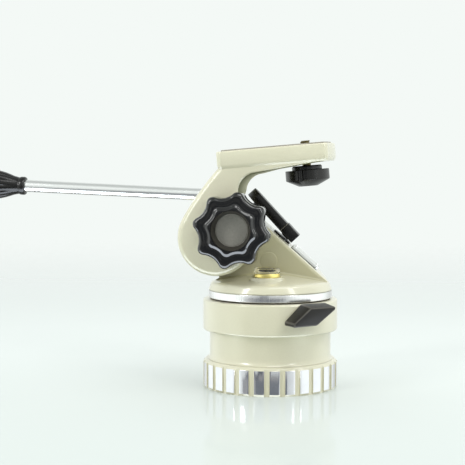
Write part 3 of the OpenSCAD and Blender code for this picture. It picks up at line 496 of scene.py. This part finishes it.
# Tower: round head about the tilt axis, long slope to the front, its foot drawn out into the dish
def make_tower():
    near, far, reach, back, foot, crown = TOWER_NEAR, 26.0, 38.0, -36.0, 64.0, 120.0
    a, b = (math.degrees(math.asin(side / reach)) for side in (near, far))
    c = 180 - math.degrees(math.acos(-back / reach))
    bm = traced((back, near), (reach * math.cos(math.radians(a)), near), ((0, 0), b - a, 10),
                (-reach * math.cos(math.radians(b)), far), ((0, 0), c - (180 - b), 6), (back, near))
    slab(bm, foot, crown)
    # Planes from the slope round to the back cut the head; the slope sags a little towards its toe
    head_r, sag, sag_from, sag_span, back_lean = 14.0, 1.25, 17, 24.6, -92.3
    for lean in [SLOPE_LEAN - i * 6 for i in range(0, 23)] + [back_lean]:
        out = Vector((math.sin(math.radians(lean)), 0, math.cos(math.radians(lean))))
        depth = head_r - sag * max(0.0, (lean - sag_from) / sag_span) ** 1.6
        bmesh.ops.bisect_plane(bm, geom=whole(bm), plane_co=Vector(TILT_AXIS) + out * depth, plane_no=out,
                               clear_outer=True, dist=1e-5)
        bmesh.ops.holes_fill(bm, edges=[e for e in bm.edges if e.is_boundary])
    bmesh.ops.remove_doubles(bm, verts=bm.verts, dist=1e-3)
    bmesh.ops.recalc_face_normals(bm, faces=bm.faces)
    bm.normal_update()
    corners = [e for e in bm.edges if len(e.link_faces) == 2
               and e.link_faces[0].normal.dot(e.link_faces[1].normal) < 0.75
               and (min(v.co.z for v in e.verts) > foot + 0.5 or abs(e.verts[0].co.z - e.verts[1].co.z) > 2)]
    bevel(bm, corners, 2.4, 5)
    bm.normal_update()
    # Faces that look to the knob get the painted shade under the arm
    paint(bm.faces, lambda f: f.normal.y < -0.5)
    tower = piece("tilt_tower", bm, HEAD, "pan_body", ["pan_head_casting"], [enamel, tower_shade], sharp=40)
    cut(tower, rod(LOCK_HOLE_R, 6, 20, 32), TILT_LOCK)


# Hollow fillet where the side of the tower runs into the cone of the dish
def make_tower_foot():
    near, size, toe, heel = TOWER_NEAR, 2.6, 37.8, -36.0
    edge_r, edge_z, cone_rise = 38.0, 67.8, 0.182
    stations = (37.0, 35.5, 34, 32, 28, 24, 20, 16, 12, 9, 6, 3, 0, -3, -6, -9, -12, -16, -20, -24, -28, -32, -35)

    def rise(x):
        return edge_z + cone_rise * (edge_r - math.hypot(x, near - size / 2))

    foot = bmesh.new()
    arc = [foot.verts.new((0, near - size, -0.35))]
    made = bmesh.ops.spin(foot, geom=arc, axis=(1, 0, 0), cent=(0, near - size, size), angle=math.radians(90),
                          steps=8)
    last = of_kind(made["geom_last"], VERT)
    inner = bmesh.ops.extrude_vert_indiv(foot, verts=last[:1])["verts"][0]
    bmesh.ops.translate(foot, verts=[inner], vec=Vector((0, near + 1.5, -1.5)) - inner.co)
    foot.edges.new((inner, arc[0]))
    loop = foot.edges[:]
    start = None
    for x in stations:
        if start is not None:
            loop = of_kind(bmesh.ops.extrude_edge_only(foot, edges=loop)["geom"], EDGE)
        step = (x, 0, rise(x)) if start is None else (x - start, 0, rise(x) - rise(start))
        bmesh.ops.translate(foot, verts=list({v for e in loop for v in e.verts}), vec=step)
        start = x
    bmesh.ops.holes_fill(foot, edges=[e for e in foot.edges if e.is_boundary])
    bmesh.ops.recalc_face_normals(foot, faces=foot.faces)
    # It dies out towards the toe of the slope and towards the back
    for v in foot.verts:
        left = max(0.15, min(1.0, (toe - v.co.x) / 5.0, (v.co.x - heel) / 6.0))
        v.co.y = near + (v.co.y - near) * left
        v.co.z = rise(v.co.x) + (v.co.z - rise(v.co.x)) * left
    # The fillet wears the same painted shade as the tower's side
    piece("tower_foot_fillet", foot, HEAD, "pan_body", ["pan_head_casting"], [tower_shade], sharp=40)


# Bull's-eye level: brass cup, clear cap, and the dark bubble chamber that the cap makes look wide
def make_level():
    cup_r, cup_top, cap_r, cap_top = 8.1, 2.5, 8.0, 5.9
    cup = turned([(0, -3), (7.4, -3), (7.4, 0), (cup_r, 0), (cup_r, cup_top), (0, cup_top)], closed=False, steps=72)
    bevel(cup, ring_edges(cup, (cup_r, 0)), 0.3, 3)
    bevel(cup, ring_edges(cup, (cup_r, cup_top)), 0.3, 3)
    piece("level_cup_ring", cup, LEVEL, "pan_body", ["level_cup"], [lacquered_brass])
    cap = rod(cap_r, 2.55, cap_top, 72)
    bevel(cap, ring_edges(cap, (cap_r, cap_top)), 0.15, 3)
    piece("level_clear_cap", cap, LEVEL, "pan_body", ["level_lens"], [clear_cap])
    chamber = turned([(0, 3.6), (3.2, 3.6), (3.6, 3.8), (3.6, 4.2), (3.2, 4.4), (0, 4.4)], closed=False, steps=64)
    piece("level_spirit", chamber, LEVEL, "pan_body", ["level_fluid"], [spirit])


# Bare plate on the slope: pale rolled face over an edge painted black as its shadow, four domed rivets
def make_plate():
    low, edge_top, top = 12.7, 13.12, 14.77
    bm = rectangle(34.2, 2, 56.2, 22)
    bmesh.ops.bevel(bm, geom=bm.verts[:], offset=1.4, offset_type="OFFSET", segments=4, profile=0.5,
                    affect="VERTICES", material=-1)
    slab(bm, low, top)
    bevel(bm, rim_edges(bm, top), 0.15, 2)
    bmesh.ops.bisect_plane(bm, geom=whole(bm), plane_co=(0, 0, edge_top), plane_no=(0, 0, 1))
    # Painted shadow: the faces below edge_top are black
    paint(bm.faces, lambda f: height(f) < edge_top)
    face = max(bm.faces, key=height)
    bmesh.ops.inset_region(bm, faces=[face], thickness=1.0, depth=0)
    bmesh.ops.inset_region(bm, faces=[face], thickness=0.15, depth=-0.12)
    piece("bare_name_plate", bm, SLOPE, "pan_body", ["name_plate"], [rolled_plate, shadow_edge])
    rivets = bmesh.new()
    for x in (36.2, 54.2):
        for y in (4, 20):
            dome = turned([(0, 14.6), (1.0, 14.6), (1.0, 14.85), (0.75, 15.1), (0.4, 15.24), (0, 15.27)],
                          closed=False, steps=20)
            join(rivets, dome, shift(x, y, 0))
    piece("plate_rivet_heads", rivets, SLOPE, "pan_body", ["plate_rivets"], [rolled_plate])


# Round plug that closes the core hole in the tower's side
def make_plug():
    plug_r, front = 5.5, 5.7
    bm = rod(plug_r, 0, front, 56)
    bevel(bm, ring_edges(bm, (plug_r, front)), 0.35, 3)
    # The plug wears the same painted shade as the tower's side
    piece("core_hole_plug", bm, TOWER_SIDE @ shift(20, -21.2, 0), "pan_body", ["core_plug"], [tower_shade])


# Swan-neck arm: wide lobe round the tilt shaft, long back, crook under the platform
def make_arm():
    lobe, lobe_r, back, back_r = (-12.4, -4.5), 24.3, (119.5, -94.35), 183.9
    crook, neck_x, nose_x, under, roof = (16.0, 22.3), 4.2, 59.0, 38.6, 39.6
    front, cheek_far, neck_more = 28.5, 6.0, 4.5
    join_a = math.degrees(math.atan2(lobe[1] - back[1], lobe[0] - back[0]))
    top_a = 180 - math.degrees(math.asin((roof - back[1]) / back_r))
    start = (back[0] + back_r * math.cos(math.radians(top_a)), roof)
    front_a = math.degrees(math.acos((neck_x - lobe[0]) / lobe_r))
    bm = traced(start, (back, join_a - top_a, 14), (lobe, 360 + front_a - join_a, 56), (neck_x, crook[1]),
                (crook, -90, 20), (30, 35.4), (nose_x, 38.1), (nose_x, roof), (4, roof), start)
    slab(bm, cheek_far, front)
    # The neck is thicker than the cheek that lies beside the tower
    neck_low = 17
    bmesh.ops.bisect_plane(bm, geom=whole(bm), plane_co=(0, neck_low, 0), plane_no=(0, 1, 0))
    bm.normal_update()
    made = raised(bm, [f for f in bm.faces if f.normal.z < -0.9 and f.calc_center_median().y > neck_low])
    bmesh.ops.translate(bm, verts=of_kind(made, VERT), vec=(0, 0, -neck_more))
    bmesh.ops.recalc_face_normals(bm, faces=bm.faces)
    # Draft of the casting: the crook opens towards the far side
    draft, draft_low, draft_end = Vector((2.9, -0.7, 0)), 15, 30
    for v in bm.verts:
        if v.co.z < 10 and 3 < v.co.x < draft_end and draft_low < v.co.y < under:
            v.co += draft * min(1.0, (v.co.y - draft_low) / 9) * min(1.0, (draft_end - v.co.x) / 14)

    def hidden(e):
        return (all(v.co.y > under and v.co.x > -5 for v in e.verts)
                or all(v.co.y > roof - 0.01 for v in e.verts))

    def inner(e):
        return all(v.co.x > 3.5 and v.co.y > 10 for v in e.verts)

    bevel(bm, [e for e in rim_edges(bm, front) if not hidden(e) and not inner(e)], 3.8, 8)
    bevel(bm, [e for e in rim_edges(bm, front) if not hidden(e) and inner(e)], 1.3, 5)
    bevel(bm, [e for e in rim_edges(bm, cheek_far - neck_more) if not hidden(e)], 1.2, 4)
    bm.normal_update()

    def in_crook(face):
        spot = face.calc_center_median()
        return spot.x > 3.4 and 12 < spot.y < under and abs(face.normal.z) < 0.5

    # The crook's inner faces get the painted shade
    paint(bm.faces, in_crook)
    arm = piece("swan_neck_arm", bm, ARM_SIDE, "tilt_body", ["arm_casting"], [enamel, crook_shade], sharp=40)
    # Room for the camera knob when it is pushed right up
    cut(arm, rod(10.4, 30, 38.15, 64), CAMERA_SCREW)


# Camera platform: straight sides, bowed nose, rounded corners
def make_platform():
    x0, x1, y1, back_r, nose, nose_r, flat = -7.7, 66.3, 29.5, 3.6, 90.0, 3.2, 26.6
    low, top = 40.6, 49.1
    reach = math.degrees(math.asin(flat / nose))
    tip = x1 - nose + nose * math.cos(math.radians(reach))
    hub = (tip - nose_r * math.cos(math.radians(reach)), y1 - nose_r)
    edge = (hub[0] + nose_r * math.cos(math.radians(reach)), hub[1] + nose_r * math.sin(math.radians(reach)))
    bm = traced((x0 + back_r, -y1), (hub[0], -y1), ((hub[0], -hub[1]), 90 - reach, 6), (tip, -flat),
                ((x1 - nose, 0), 2 * reach, 18), (tip, flat), edge, (hub, 90 - reach, 6),
                (x0 + back_r, y1), ((x0 + back_r, y1 - back_r), 90, 8),
                (x0, -y1 + back_r), ((x0 + back_r, -y1 + back_r), 90, 8))
    slab(bm, low, top)
    bevel(bm, rim_edges(bm, top), 1.0, 4)
    # The sides draw in below, so that they run into the cheek of the arm without a step
    under = min(bm.faces, key=height)
    for thickness, depth in ((0.2, 0.9), (0.45, 0.9), (0.36, 0.7)):
        bmesh.ops.inset_region(bm, faces=[under], thickness=thickness, depth=depth)
    platform = piece("camera_platform", bm, ARM, "tilt_body", ["arm_casting"], [enamel], sharp=45)
    # Hole of the camera screw, and the wider one above it for its clip
    bore = [(0, 30), (3.5, 30), (3.5, 44.5), (6.6, 44.5), (6.6, 60), (0, 60)]
    cut(platform, turned(bore, closed=False, steps=48), CAMERA_SCREW)


def lobed(radius, valley, scallop, lobes, phase):
    """A scalloped outline whose tip arcs run into the scallop arcs without a corner."""
    half = math.pi / lobes
    far = valley + scallop
    reach = scallop + radius
    tip_d = (reach ** 2 - far ** 2) / (2 * reach - 2 * far * math.cos(half))
    tip_r = radius - tip_d
    tip = Vector((tip_d, 0))
    hollow = Vector((far * math.cos(half), far * math.sin(half)))
    meet = tip + (hollow - tip) * tip_r / (tip_r + scallop)
    tip_turn = math.degrees(math.atan2(meet.y, meet.x - tip_d))
    into = meet - hollow
    hollow_turn = 2 * (math.degrees(half) - math.degrees(math.atan2(-into.y, -into.x)))

    def at_lobe(v, k):
        return tuple(Matrix.Rotation(phase + k * 2 * half, 2) @ v)

    moves = []
    for k in range(lobes):
        moves += [(at_lobe(tip, k), 2 * tip_turn, 8), (at_lobe(hollow, k), hollow_turn, 10)]
    return traced(at_lobe(Vector((meet.x, -meet.y)), 0), *moves)


# Tilt knob: rounded lobes at the front, a shallow trough, and a wavy lip round the recess of the bare disc
def make_tilt_knob():
    valley, lip, wave, back, side_top, floor = 20.4, 12.6, 0.38, 30.0, 46.15, 41
    bm = lobed(24.0, valley, 11.4, 8, math.radians(-11.5))
    slab(bm, back, side_top)
    bevel(bm, rim_edges(bm, back), 2.0, 4)
    front = max(bm.faces, key=height)
    ring = [(math.hypot(v.co.x, v.co.y), math.atan2(v.co.y, v.co.x)) for v in front.verts]
    loop = list(front.edges)
    bmesh.ops.delete(bm, geom=[front], context="FACES_ONLY")
    # Each step goes a part of the way from the lobes to the lip, at a height
    lobe_steps = ((0.011, 46.93), (0.041, 47.65), (0.09, 48.27), (0.156, 48.75), (0.23, 49.05), (0.31, 49.12))
    trough_steps = ((0.45, 49.0), (0.6, 48.9), (0.72, 48.9), (0.78, 49.0))
    lip_steps = ((0.84, 49.3), (0.9, 49.72), (0.95, 50.0), (1.0, 50.1), (1.04, 50.05))
    for t, z in lobe_steps + trough_steps + lip_steps:
        loop = of_kind(bmesh.ops.extrude_edge_only(bm, edges=loop)["geom"], EDGE)
        for v in {v for e in loop for v in e.verts}:
            here = math.atan2(v.co.y, v.co.x)
            r, a = min(ring, key=lambda ra: abs(math.remainder(ra[1] - here, TURN)))
            now = r + (lip + wave * (r - valley) - r) * t
            v.co = Vector((now * math.cos(a), now * math.sin(a), z))
    bmesh.ops.holes_fill(bm, edges=loop)
    bmesh.ops.recalc_face_normals(bm, faces=bm.faces)
    knob = piece("lobed_tilt_knob", bm, TOWER_SIDE, "knob_body", ["tilt_knob"], [bakelite], sharp=50)
    recess = [(0, 20), (8.02, 20), (8.02, floor), (12.4, floor), (12.4, 60), (0, 60)]
    cut(knob, turned(recess, closed=False, steps=96), TOWER_SIDE)
    # The disc is dished: a sloping wall stands round it
    wall = [(12.3, floor), (12.3, 48.3), (11.9, 48.3), (10.3, 42.6), (10.1, 42.0), (9.8, 41.8)]
    disc = turned([(0, floor)] + wall + [(9.5, 42.1), (0, 42.1)], closed=False, steps=72)
    paint(disc.faces, lambda f: math.hypot(*f.calc_center_median().xy) > 10.0)
    piece("bare_knob_disc", disc, TOWER_SIDE, "knob_body", ["knob_disc"], [grey_disc, dulled_bakelite])


# Tilt lock lever: straight bar with a raised finger end
def make_tilt_lever():
    half_w, bar_end, round_x, low, top = 5.9, 20.0, -6.15, 17.8, 24.4
    bm = traced((bar_end, -half_w), (bar_end, half_w), (round_x, half_w), ((round_x, 0), 180, 16), (bar_end, -half_w))
    slab(bm, low, top)
    bevel(bm, rim_edges(bm, top) + rim_edges(bm, low), 0.35, 2)
    tip = rectangle(19.6, -6.5, 30.6, 6.5)
    slab(tip, low, 25.0)
    bm.normal_update()
    tip.normal_update()
    edges = bevel(tip, [e for e in tip.edges if e.calc_face_angle() > 1], 0.5, 3)
    # The bevel faces across the lever, where the finger end starts, get the painted highlight
    paint(edges, lambda f: f.calc_center_median().x < 20.2)
    join(bm, tip)
    # Hub under the bar
    join(bm, rod(5.6, 13.3, 18.5, 40))
    # Foot of the finger end, and a black pad on the slope under it, a dark piece put where the lever's shadow and
    # reflection fall
    join(bm, rod(2.9, 16.9, 18.5, 32), shift(24.6, 0, 0))
    pad_r, pad_top = 6.7, 13.8
    pad = rod(pad_r, 12.5, pad_top, 48)
    bevel(pad, ring_edges(pad, (pad_r, pad_top)), 0.3, 3)
    piece("shadow_pad_on_slope", pad, SLOPE @ shift(25.0, 12.0, 0), "pan_body", ["pan_head_casting"], [phenolic])
    piece("tilt_lock_lever", bm, TILT_LOCK, "tilt_lever_body", ["tilt_lever"], [phenolic, highlight_edge])


# Pan lock wing: thick lozenge, its upper side falling towards the front, its paint paler along every edge
def make_pan_lever():
    bm = traced((-14.4, -5.8), (1.6, -5.4), (14.6, 4.0), (14.6, 6.9), (-2.8, 6.9), (-14.4, -3.4), (-14.4, -5.8))
    slab(bm, 44.3, 56.8)
    for v in bm.verts:
        if v.co.z > 50 and v.co.y > 3.5:
            v.co.y -= 1.3 if v.co.y > 5 else 0.2
    bm.normal_update()
    # Every bevelled edge gets the paler enamel
    paint(bevel(bm, [e for e in bm.edges if e.calc_face_angle() > 0.3], 0.75, 4), lambda f: True)
    piece("pan_lock_wing", bm, PAN_LOCK, "pan_lever_body", ["pan_lever"],
          [black_enamel, pale_edged_enamel])


# Knob of the camera screw: three notches and a coned lower end
def make_camera_knob():
    bm = turned([(0, 23.0), (5.8, 23.0), (6.3, 23.15), (13.8, 26.75), (14.1, 27.1), (14.1, 33.1), (13.8, 33.4),
                 (9.5, 33.4), (9.7, 33.6), (9.7, 35.4), (9.0, 36.2), (0, 36.2)], closed=False, steps=96)
    knob = piece("camera_screw_knob", bm, CAMERA_SCREW, "screw_body", ["camera_knob"], [phenolic])
    for i in range(3):
        cut(knob, rod(1.9, 20, 33.3, 24), CAMERA_SCREW @ turn(14 + 120 * i, "Z") @ shift(14.4, 0, 0))


# Camera screw: a worn quarter-inch thread, one round of which stands above the platform; its brass is painted dark as
# shade
def make_camera_screw():
    pitch, core, crest, steps = 1.27, 2.5, 3.175, 48
    bm = bmesh.new()
    tooth = outline(bm, [(core, 0, 50.0), (crest, 0, 50.4), (crest, 0, 50.7), (core, 0, 51.1)])
    bmesh.ops.spin(bm, geom=tooth, axis=(0, 0, 1), cent=(0, 0, 0), angle=TURN, steps=steps,
                   dvec=(0, 0, pitch / steps))
    bmesh.ops.holes_fill(bm, edges=[e for e in bm.edges if e.is_boundary])
    bmesh.ops.recalc_face_normals(bm, faces=bm.faces)
    join(bm, turned([(0, 24.0), (2.775, 24.0), (2.775, 49.0), (2.4, 49.2), (2.4, 50.4), (2.6, 50.6), (2.6, 51.9),
                     (2.3, 52.2), (0, 52.2)], closed=False, steps=40))
    piece("camera_screw_thread", bm, CAMERA_SCREW, "screw_body", ["camera_screw"], [shaded_brass])


# Grip: bead at the bar, then a long swell with twelve shallow flutes
def make_grip():
    bore_r, neck_r, swell, widest_r, end_r = 4.02, 5.5, 6.8, 12.3, 4
    neck, rise, widest, tail, length, bare_bar = 5.2, 38.8, 44, 57, 105, 115.4
    flutes, flute_from, flute_deep, skim = 12, 6, 0.55, 0.1
    shoulder = widest + tail
    profile = [(bore_r, 0), (4.9, 0), (neck_r, 0.3), (5.85, 1.0), (5.85, 3.2), (neck_r, 4.0), (5.35, 4.6),
               (neck_r, neck)]
    for i in range(1, 15):
        s = neck + rise * i / 14
        profile.append((neck_r + swell * math.sin(math.radians(90 * (s - neck) / rise)) ** 0.8, s))
    for i in range(1, 8):
        s = widest + tail * i / 7
        profile.append((widest_r - 2 * ((s - widest) / (length - widest)) ** 2, s))
    r = profile[-1][0]
    profile += [(r - end_r + end_r * math.cos(math.radians(t)), shoulder + end_r * math.sin(math.radians(t)))
                for t in (22, 45, 68, 90)]
    profile += [(0, length), (0, 99), (bore_r, 99)]
    bm = turned(profile, steps=12 * flutes)
    for v in bm.verts:
        r = math.hypot(v.co.x, v.co.y)
        if flute_from < v.co.z < shoulder and r > 5:
            fade = min(1, (v.co.z - flute_from) / 8, (shoulder - v.co.z) / 6)
            crest = abs(math.sin(flutes / 2 * math.atan2(v.co.y, v.co.x))) ** 0.6 * fade
            grow = 1 - (flute_deep / r) * (1 - crest) - skim / r
            v.co.x *= grow
            v.co.y *= grow
    piece("fluted_grip", bm, BAR @ shift(0, 0, bare_bar), "tilt_body", ["grip"], [phenolic], sharp=50)


for make in (make_base, make_clamp_ring, make_dish, make_tower, make_tower_foot, make_level, make_plate, make_plug,
             make_arm, make_platform, make_tilt_knob, make_tilt_lever, make_pan_lever, make_camera_knob,
             make_camera_screw, make_grip):
    make()

# Finishes of the solids that keep their own shape
for material, nodes in (
        (machined, ("base_screws", "ring_clip", "pan_spindle", "spindle_washer", "spindle_nut", "flange_screws",
                    "pan_lever_screw", "tilt_shaft", "shaft_key", "knob_washer", "tilt_lever_screw", "screw_clip")),
        (bronze, ("pan_bush", "tilt_bush_near", "tilt_bush_far")),
        (fibre, ("friction_washer", "tilt_washer", "thrust_washer")),
        (lacquered_brass, ("pan_brake_shoe", "tilt_brake_shoe", "knob_insert")),
        (rolled_plate, ("base_plate",)), (pad_sheet, ("platform_pad",)), (chrome_bar, ("pan_bar",))):
    for node in nodes:
        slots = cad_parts[node].data.materials
        slots.clear()
        slots.append(material)

# ---- Studio, in metres


def stage_sheet(name, corners, material):
    """A flat sheet of the studio, given by its corners."""
    bm = bmesh.new()
    bmesh.ops.contextual_create(bm, geom=[bm.verts.new(c) for c in corners])
    made = solid(name, bm, [material])
    return made


# Glossy white table: a faint mirror image and a soft shadow; its far end fades into the backdrop
def make_table():
    table, tree, surface, place = finish("white laminate table", {"Roughness": 0.07, "IOR": 1.13})
    far = add(tree, "ShaderNodeSeparateXYZ", Vector=place)
    fade = add(tree, "ShaderNodeMapRange", {"interpolation_type": "SMOOTHSTEP"}, Value=far.outputs["Y"],
               From_Min=0.1, From_Max=1.6)
    # Painted shade: the table's tone darkens towards the camera, from y -0.3 m to 0.1 m
    near = add(tree, "ShaderNodeMapRange", Value=far.outputs["Y"], From_Min=-0.3, From_Max=0.1)
    tone = add(tree, "ShaderNodeMix", COLOUR, i0=near.outputs[0], i6=linear("#b5bcb6"), i7=linear("#ccd2cc"))
    wire(tree, surface, Base_Color=tone.outputs[2])
    clear = add(tree, "ShaderNodeBsdfTransparent")
    mixed = add(tree, "ShaderNodeMixShader", i0=fade.outputs[0], i1=surface.outputs[0], i2=clear.outputs[0])
    wire(tree, tree.nodes["Material Output"], Surface=mixed.outputs[0])
    floor = stage_sheet("table", [(-3, -3, 0), (3, -3, 0), (3, 3, 0), (-3, 3, 0)], table)
    floor.visible_glossy = False


# The dim room behind the camera, seen only as a grey reflection in bright and polished faces,
# with the lamps' glare on the table in front, seen in polished edges that face down.
# Each card has its tone and strength, its left and right, and the Y and Z of its two other edges.
def make_cards():
    for name, tone, strength, left, right, near, far in (
            ("dim_room", "#8f9499", 1.0, -0.42, 0.60, (-1.0, -0.34), (-1.0, -0.035)),
            ("left_wall", "#bcbebe", 1.0, -0.90, -0.42, (-1.0, -0.34), (-1.0, -0.035)),
            ("dim_under", "#8a8a86", 1.0, -0.50, -0.05, (-0.04, -0.12), (0.14, -0.12)),
            ("dim_wall", "#88898e", 1.0, -0.75, -0.25, (-1.0, -0.035), (-1.0, 0.03)),
            ("pale_wall", "#b6b6b4", 1.0, -0.25, 0.60, (-1.0, -0.035), (-1.0, 0.03)),
            ("dim_camera", "#80858a", 1.0, -0.28, 0.0, (-1.0, 0.03), (-1.0, 0.26)),
            ("near_glare", "#eef6ff", 7.5, -0.45, 0.45, (-0.28, -0.12), (-0.04, -0.12)),
            ("dim_table", "#b0b4b4", 1.0, -0.24, 0.06, (-0.6, -0.12), (-0.28, -0.12))):
        glow = bpy.data.materials.new(name)
        glow.use_nodes = True
        glow.node_tree.nodes.clear()
        light = add(glow.node_tree, "ShaderNodeEmission", Color=linear(tone), Strength=strength)
        add(glow.node_tree, "ShaderNodeOutputMaterial", Surface=light.outputs[0])
        card = stage_sheet(name, [(left, *near), (right, *near), (right, *far), (left, *far)], glow)
        card.visible_camera = card.visible_diffuse = card.visible_shadow = card.visible_transmission = False


# White tent: more light from the sides and the back than from the camera; in polished parts its sides look
# brightest and its top looks grey
def make_tent():
    world = bpy.data.worlds.new("white tent")
    bpy.context.scene.world = world
    world.use_nodes = True
    tree = world.node_tree
    tree.nodes.clear()
    path = add(tree, "ShaderNodeLightPath")
    seen = add(tree, "ShaderNodeMath", {"operation": "MAXIMUM"}, i0=path.outputs["Is Camera Ray"],
               i1=path.outputs["Is Glossy Ray"])
    seen = add(tree, "ShaderNodeMath", {"operation": "MAXIMUM"}, i0=seen.outputs[0],
               i1=path.outputs["Is Transmission Ray"])
    way = add(tree, "ShaderNodeSeparateXYZ", Vector=add(tree, "ShaderNodeTexCoord").outputs["Generated"])
    level = add(tree, "ShaderNodeMapRange", Value=way.outputs["Y"], From_Min=-0.7, From_Max=0.5,
                To_Min=0.24, To_Max=1.85)
    roof = add(tree, "ShaderNodeMapRange", Value=way.outputs["Z"], From_Min=0.72, From_Max=0.95,
               To_Min=1.0, To_Max=0.66)
    aside = add(tree, "ShaderNodeMath", {"operation": "ABSOLUTE"}, i0=way.outputs["X"])
    sides = add(tree, "ShaderNodeMapRange", Value=aside.outputs[0], From_Min=0.55, From_Max=0.9,
                To_Min=1.0, To_Max=1.75)
    mirrored = add(tree, "ShaderNodeMath", {"operation": "MULTIPLY"}, i0=roof.outputs[0], i1=sides.outputs[0])
    lit = add(tree, "ShaderNodeBackground", Color=linear("#f6faff"), Strength=level.outputs[0])
    glossy = add(tree, "ShaderNodeMapRange", Value=path.outputs["Is Glossy Ray"], To_Min=1.0,
                 To_Max=mirrored.outputs[0])
    shown = add(tree, "ShaderNodeBackground", Color=linear("#f4f9f6"), Strength=glossy.outputs[0])
    mixed = add(tree, "ShaderNodeMixShader", i0=seen.outputs[0], i1=lit.outputs[0], i2=shown.outputs[0])
    add(tree, "ShaderNodeOutputWorld", Surface=mixed.outputs[0])


# Soft lamps that face the middle of the head; the last one doesn't show in reflections
def make_lamps():
    middle = Vector((0, 0, 0.08))
    for name, spot, wide, high, power, shows in (("left softbox", (-0.75, -0.75, 0.62), 0.2, 0.6, 4.8, True),
                                                 ("right softbox", (0.78, -0.72, 0.62), 0.18, 0.6, 2.6, True),
                                                 ("top panel", (0.4, -0.4, 1.0), 1.0, 0.35, 5.2, True),
                                                 ("front fill", (-0.3, -0.9, 0.15), 0.6, 0.3, 1.3, False)):
        lamp = bpy.data.lights.new(name, "AREA")
        lamp.shape = "RECTANGLE"
        lamp.size = wide
        lamp.size_y = high
        lamp.energy = power
        made = show(name, lamp)
        made.visible_glossy = shows
        made.location = spot
        made.rotation_euler = (middle - Vector(spot)).to_track_quat("-Z", "Y").to_euler()


# Camera: the place and the long lens that match the photo's view
def make_camera():
    veer, dip = math.radians(6.19), math.radians(3.038)
    aside, back, up = -0.0245, 0.742, 0.1386
    photo_px, focal_px = 465, 1146.5
    right = Vector((math.cos(veer), math.sin(veer), 0))
    away = Vector((-math.sin(veer), math.cos(veer), 0))
    lens = bpy.data.cameras.new("camera")
    lens.sensor_width = 36.0
    lens.lens = 36.0 * focal_px / photo_px
    made = show("camera", lens)
    made.location = right * aside - away * back + Vector((0, 0, up))
    made.rotation_euler = (math.pi / 2 - dip, 0, veer)
    bpy.context.scene.camera = made


make_table()
make_cards()
make_tent()
make_lamps()
make_camera()
bpy.context.scene.view_settings.view_transform = "Standard"
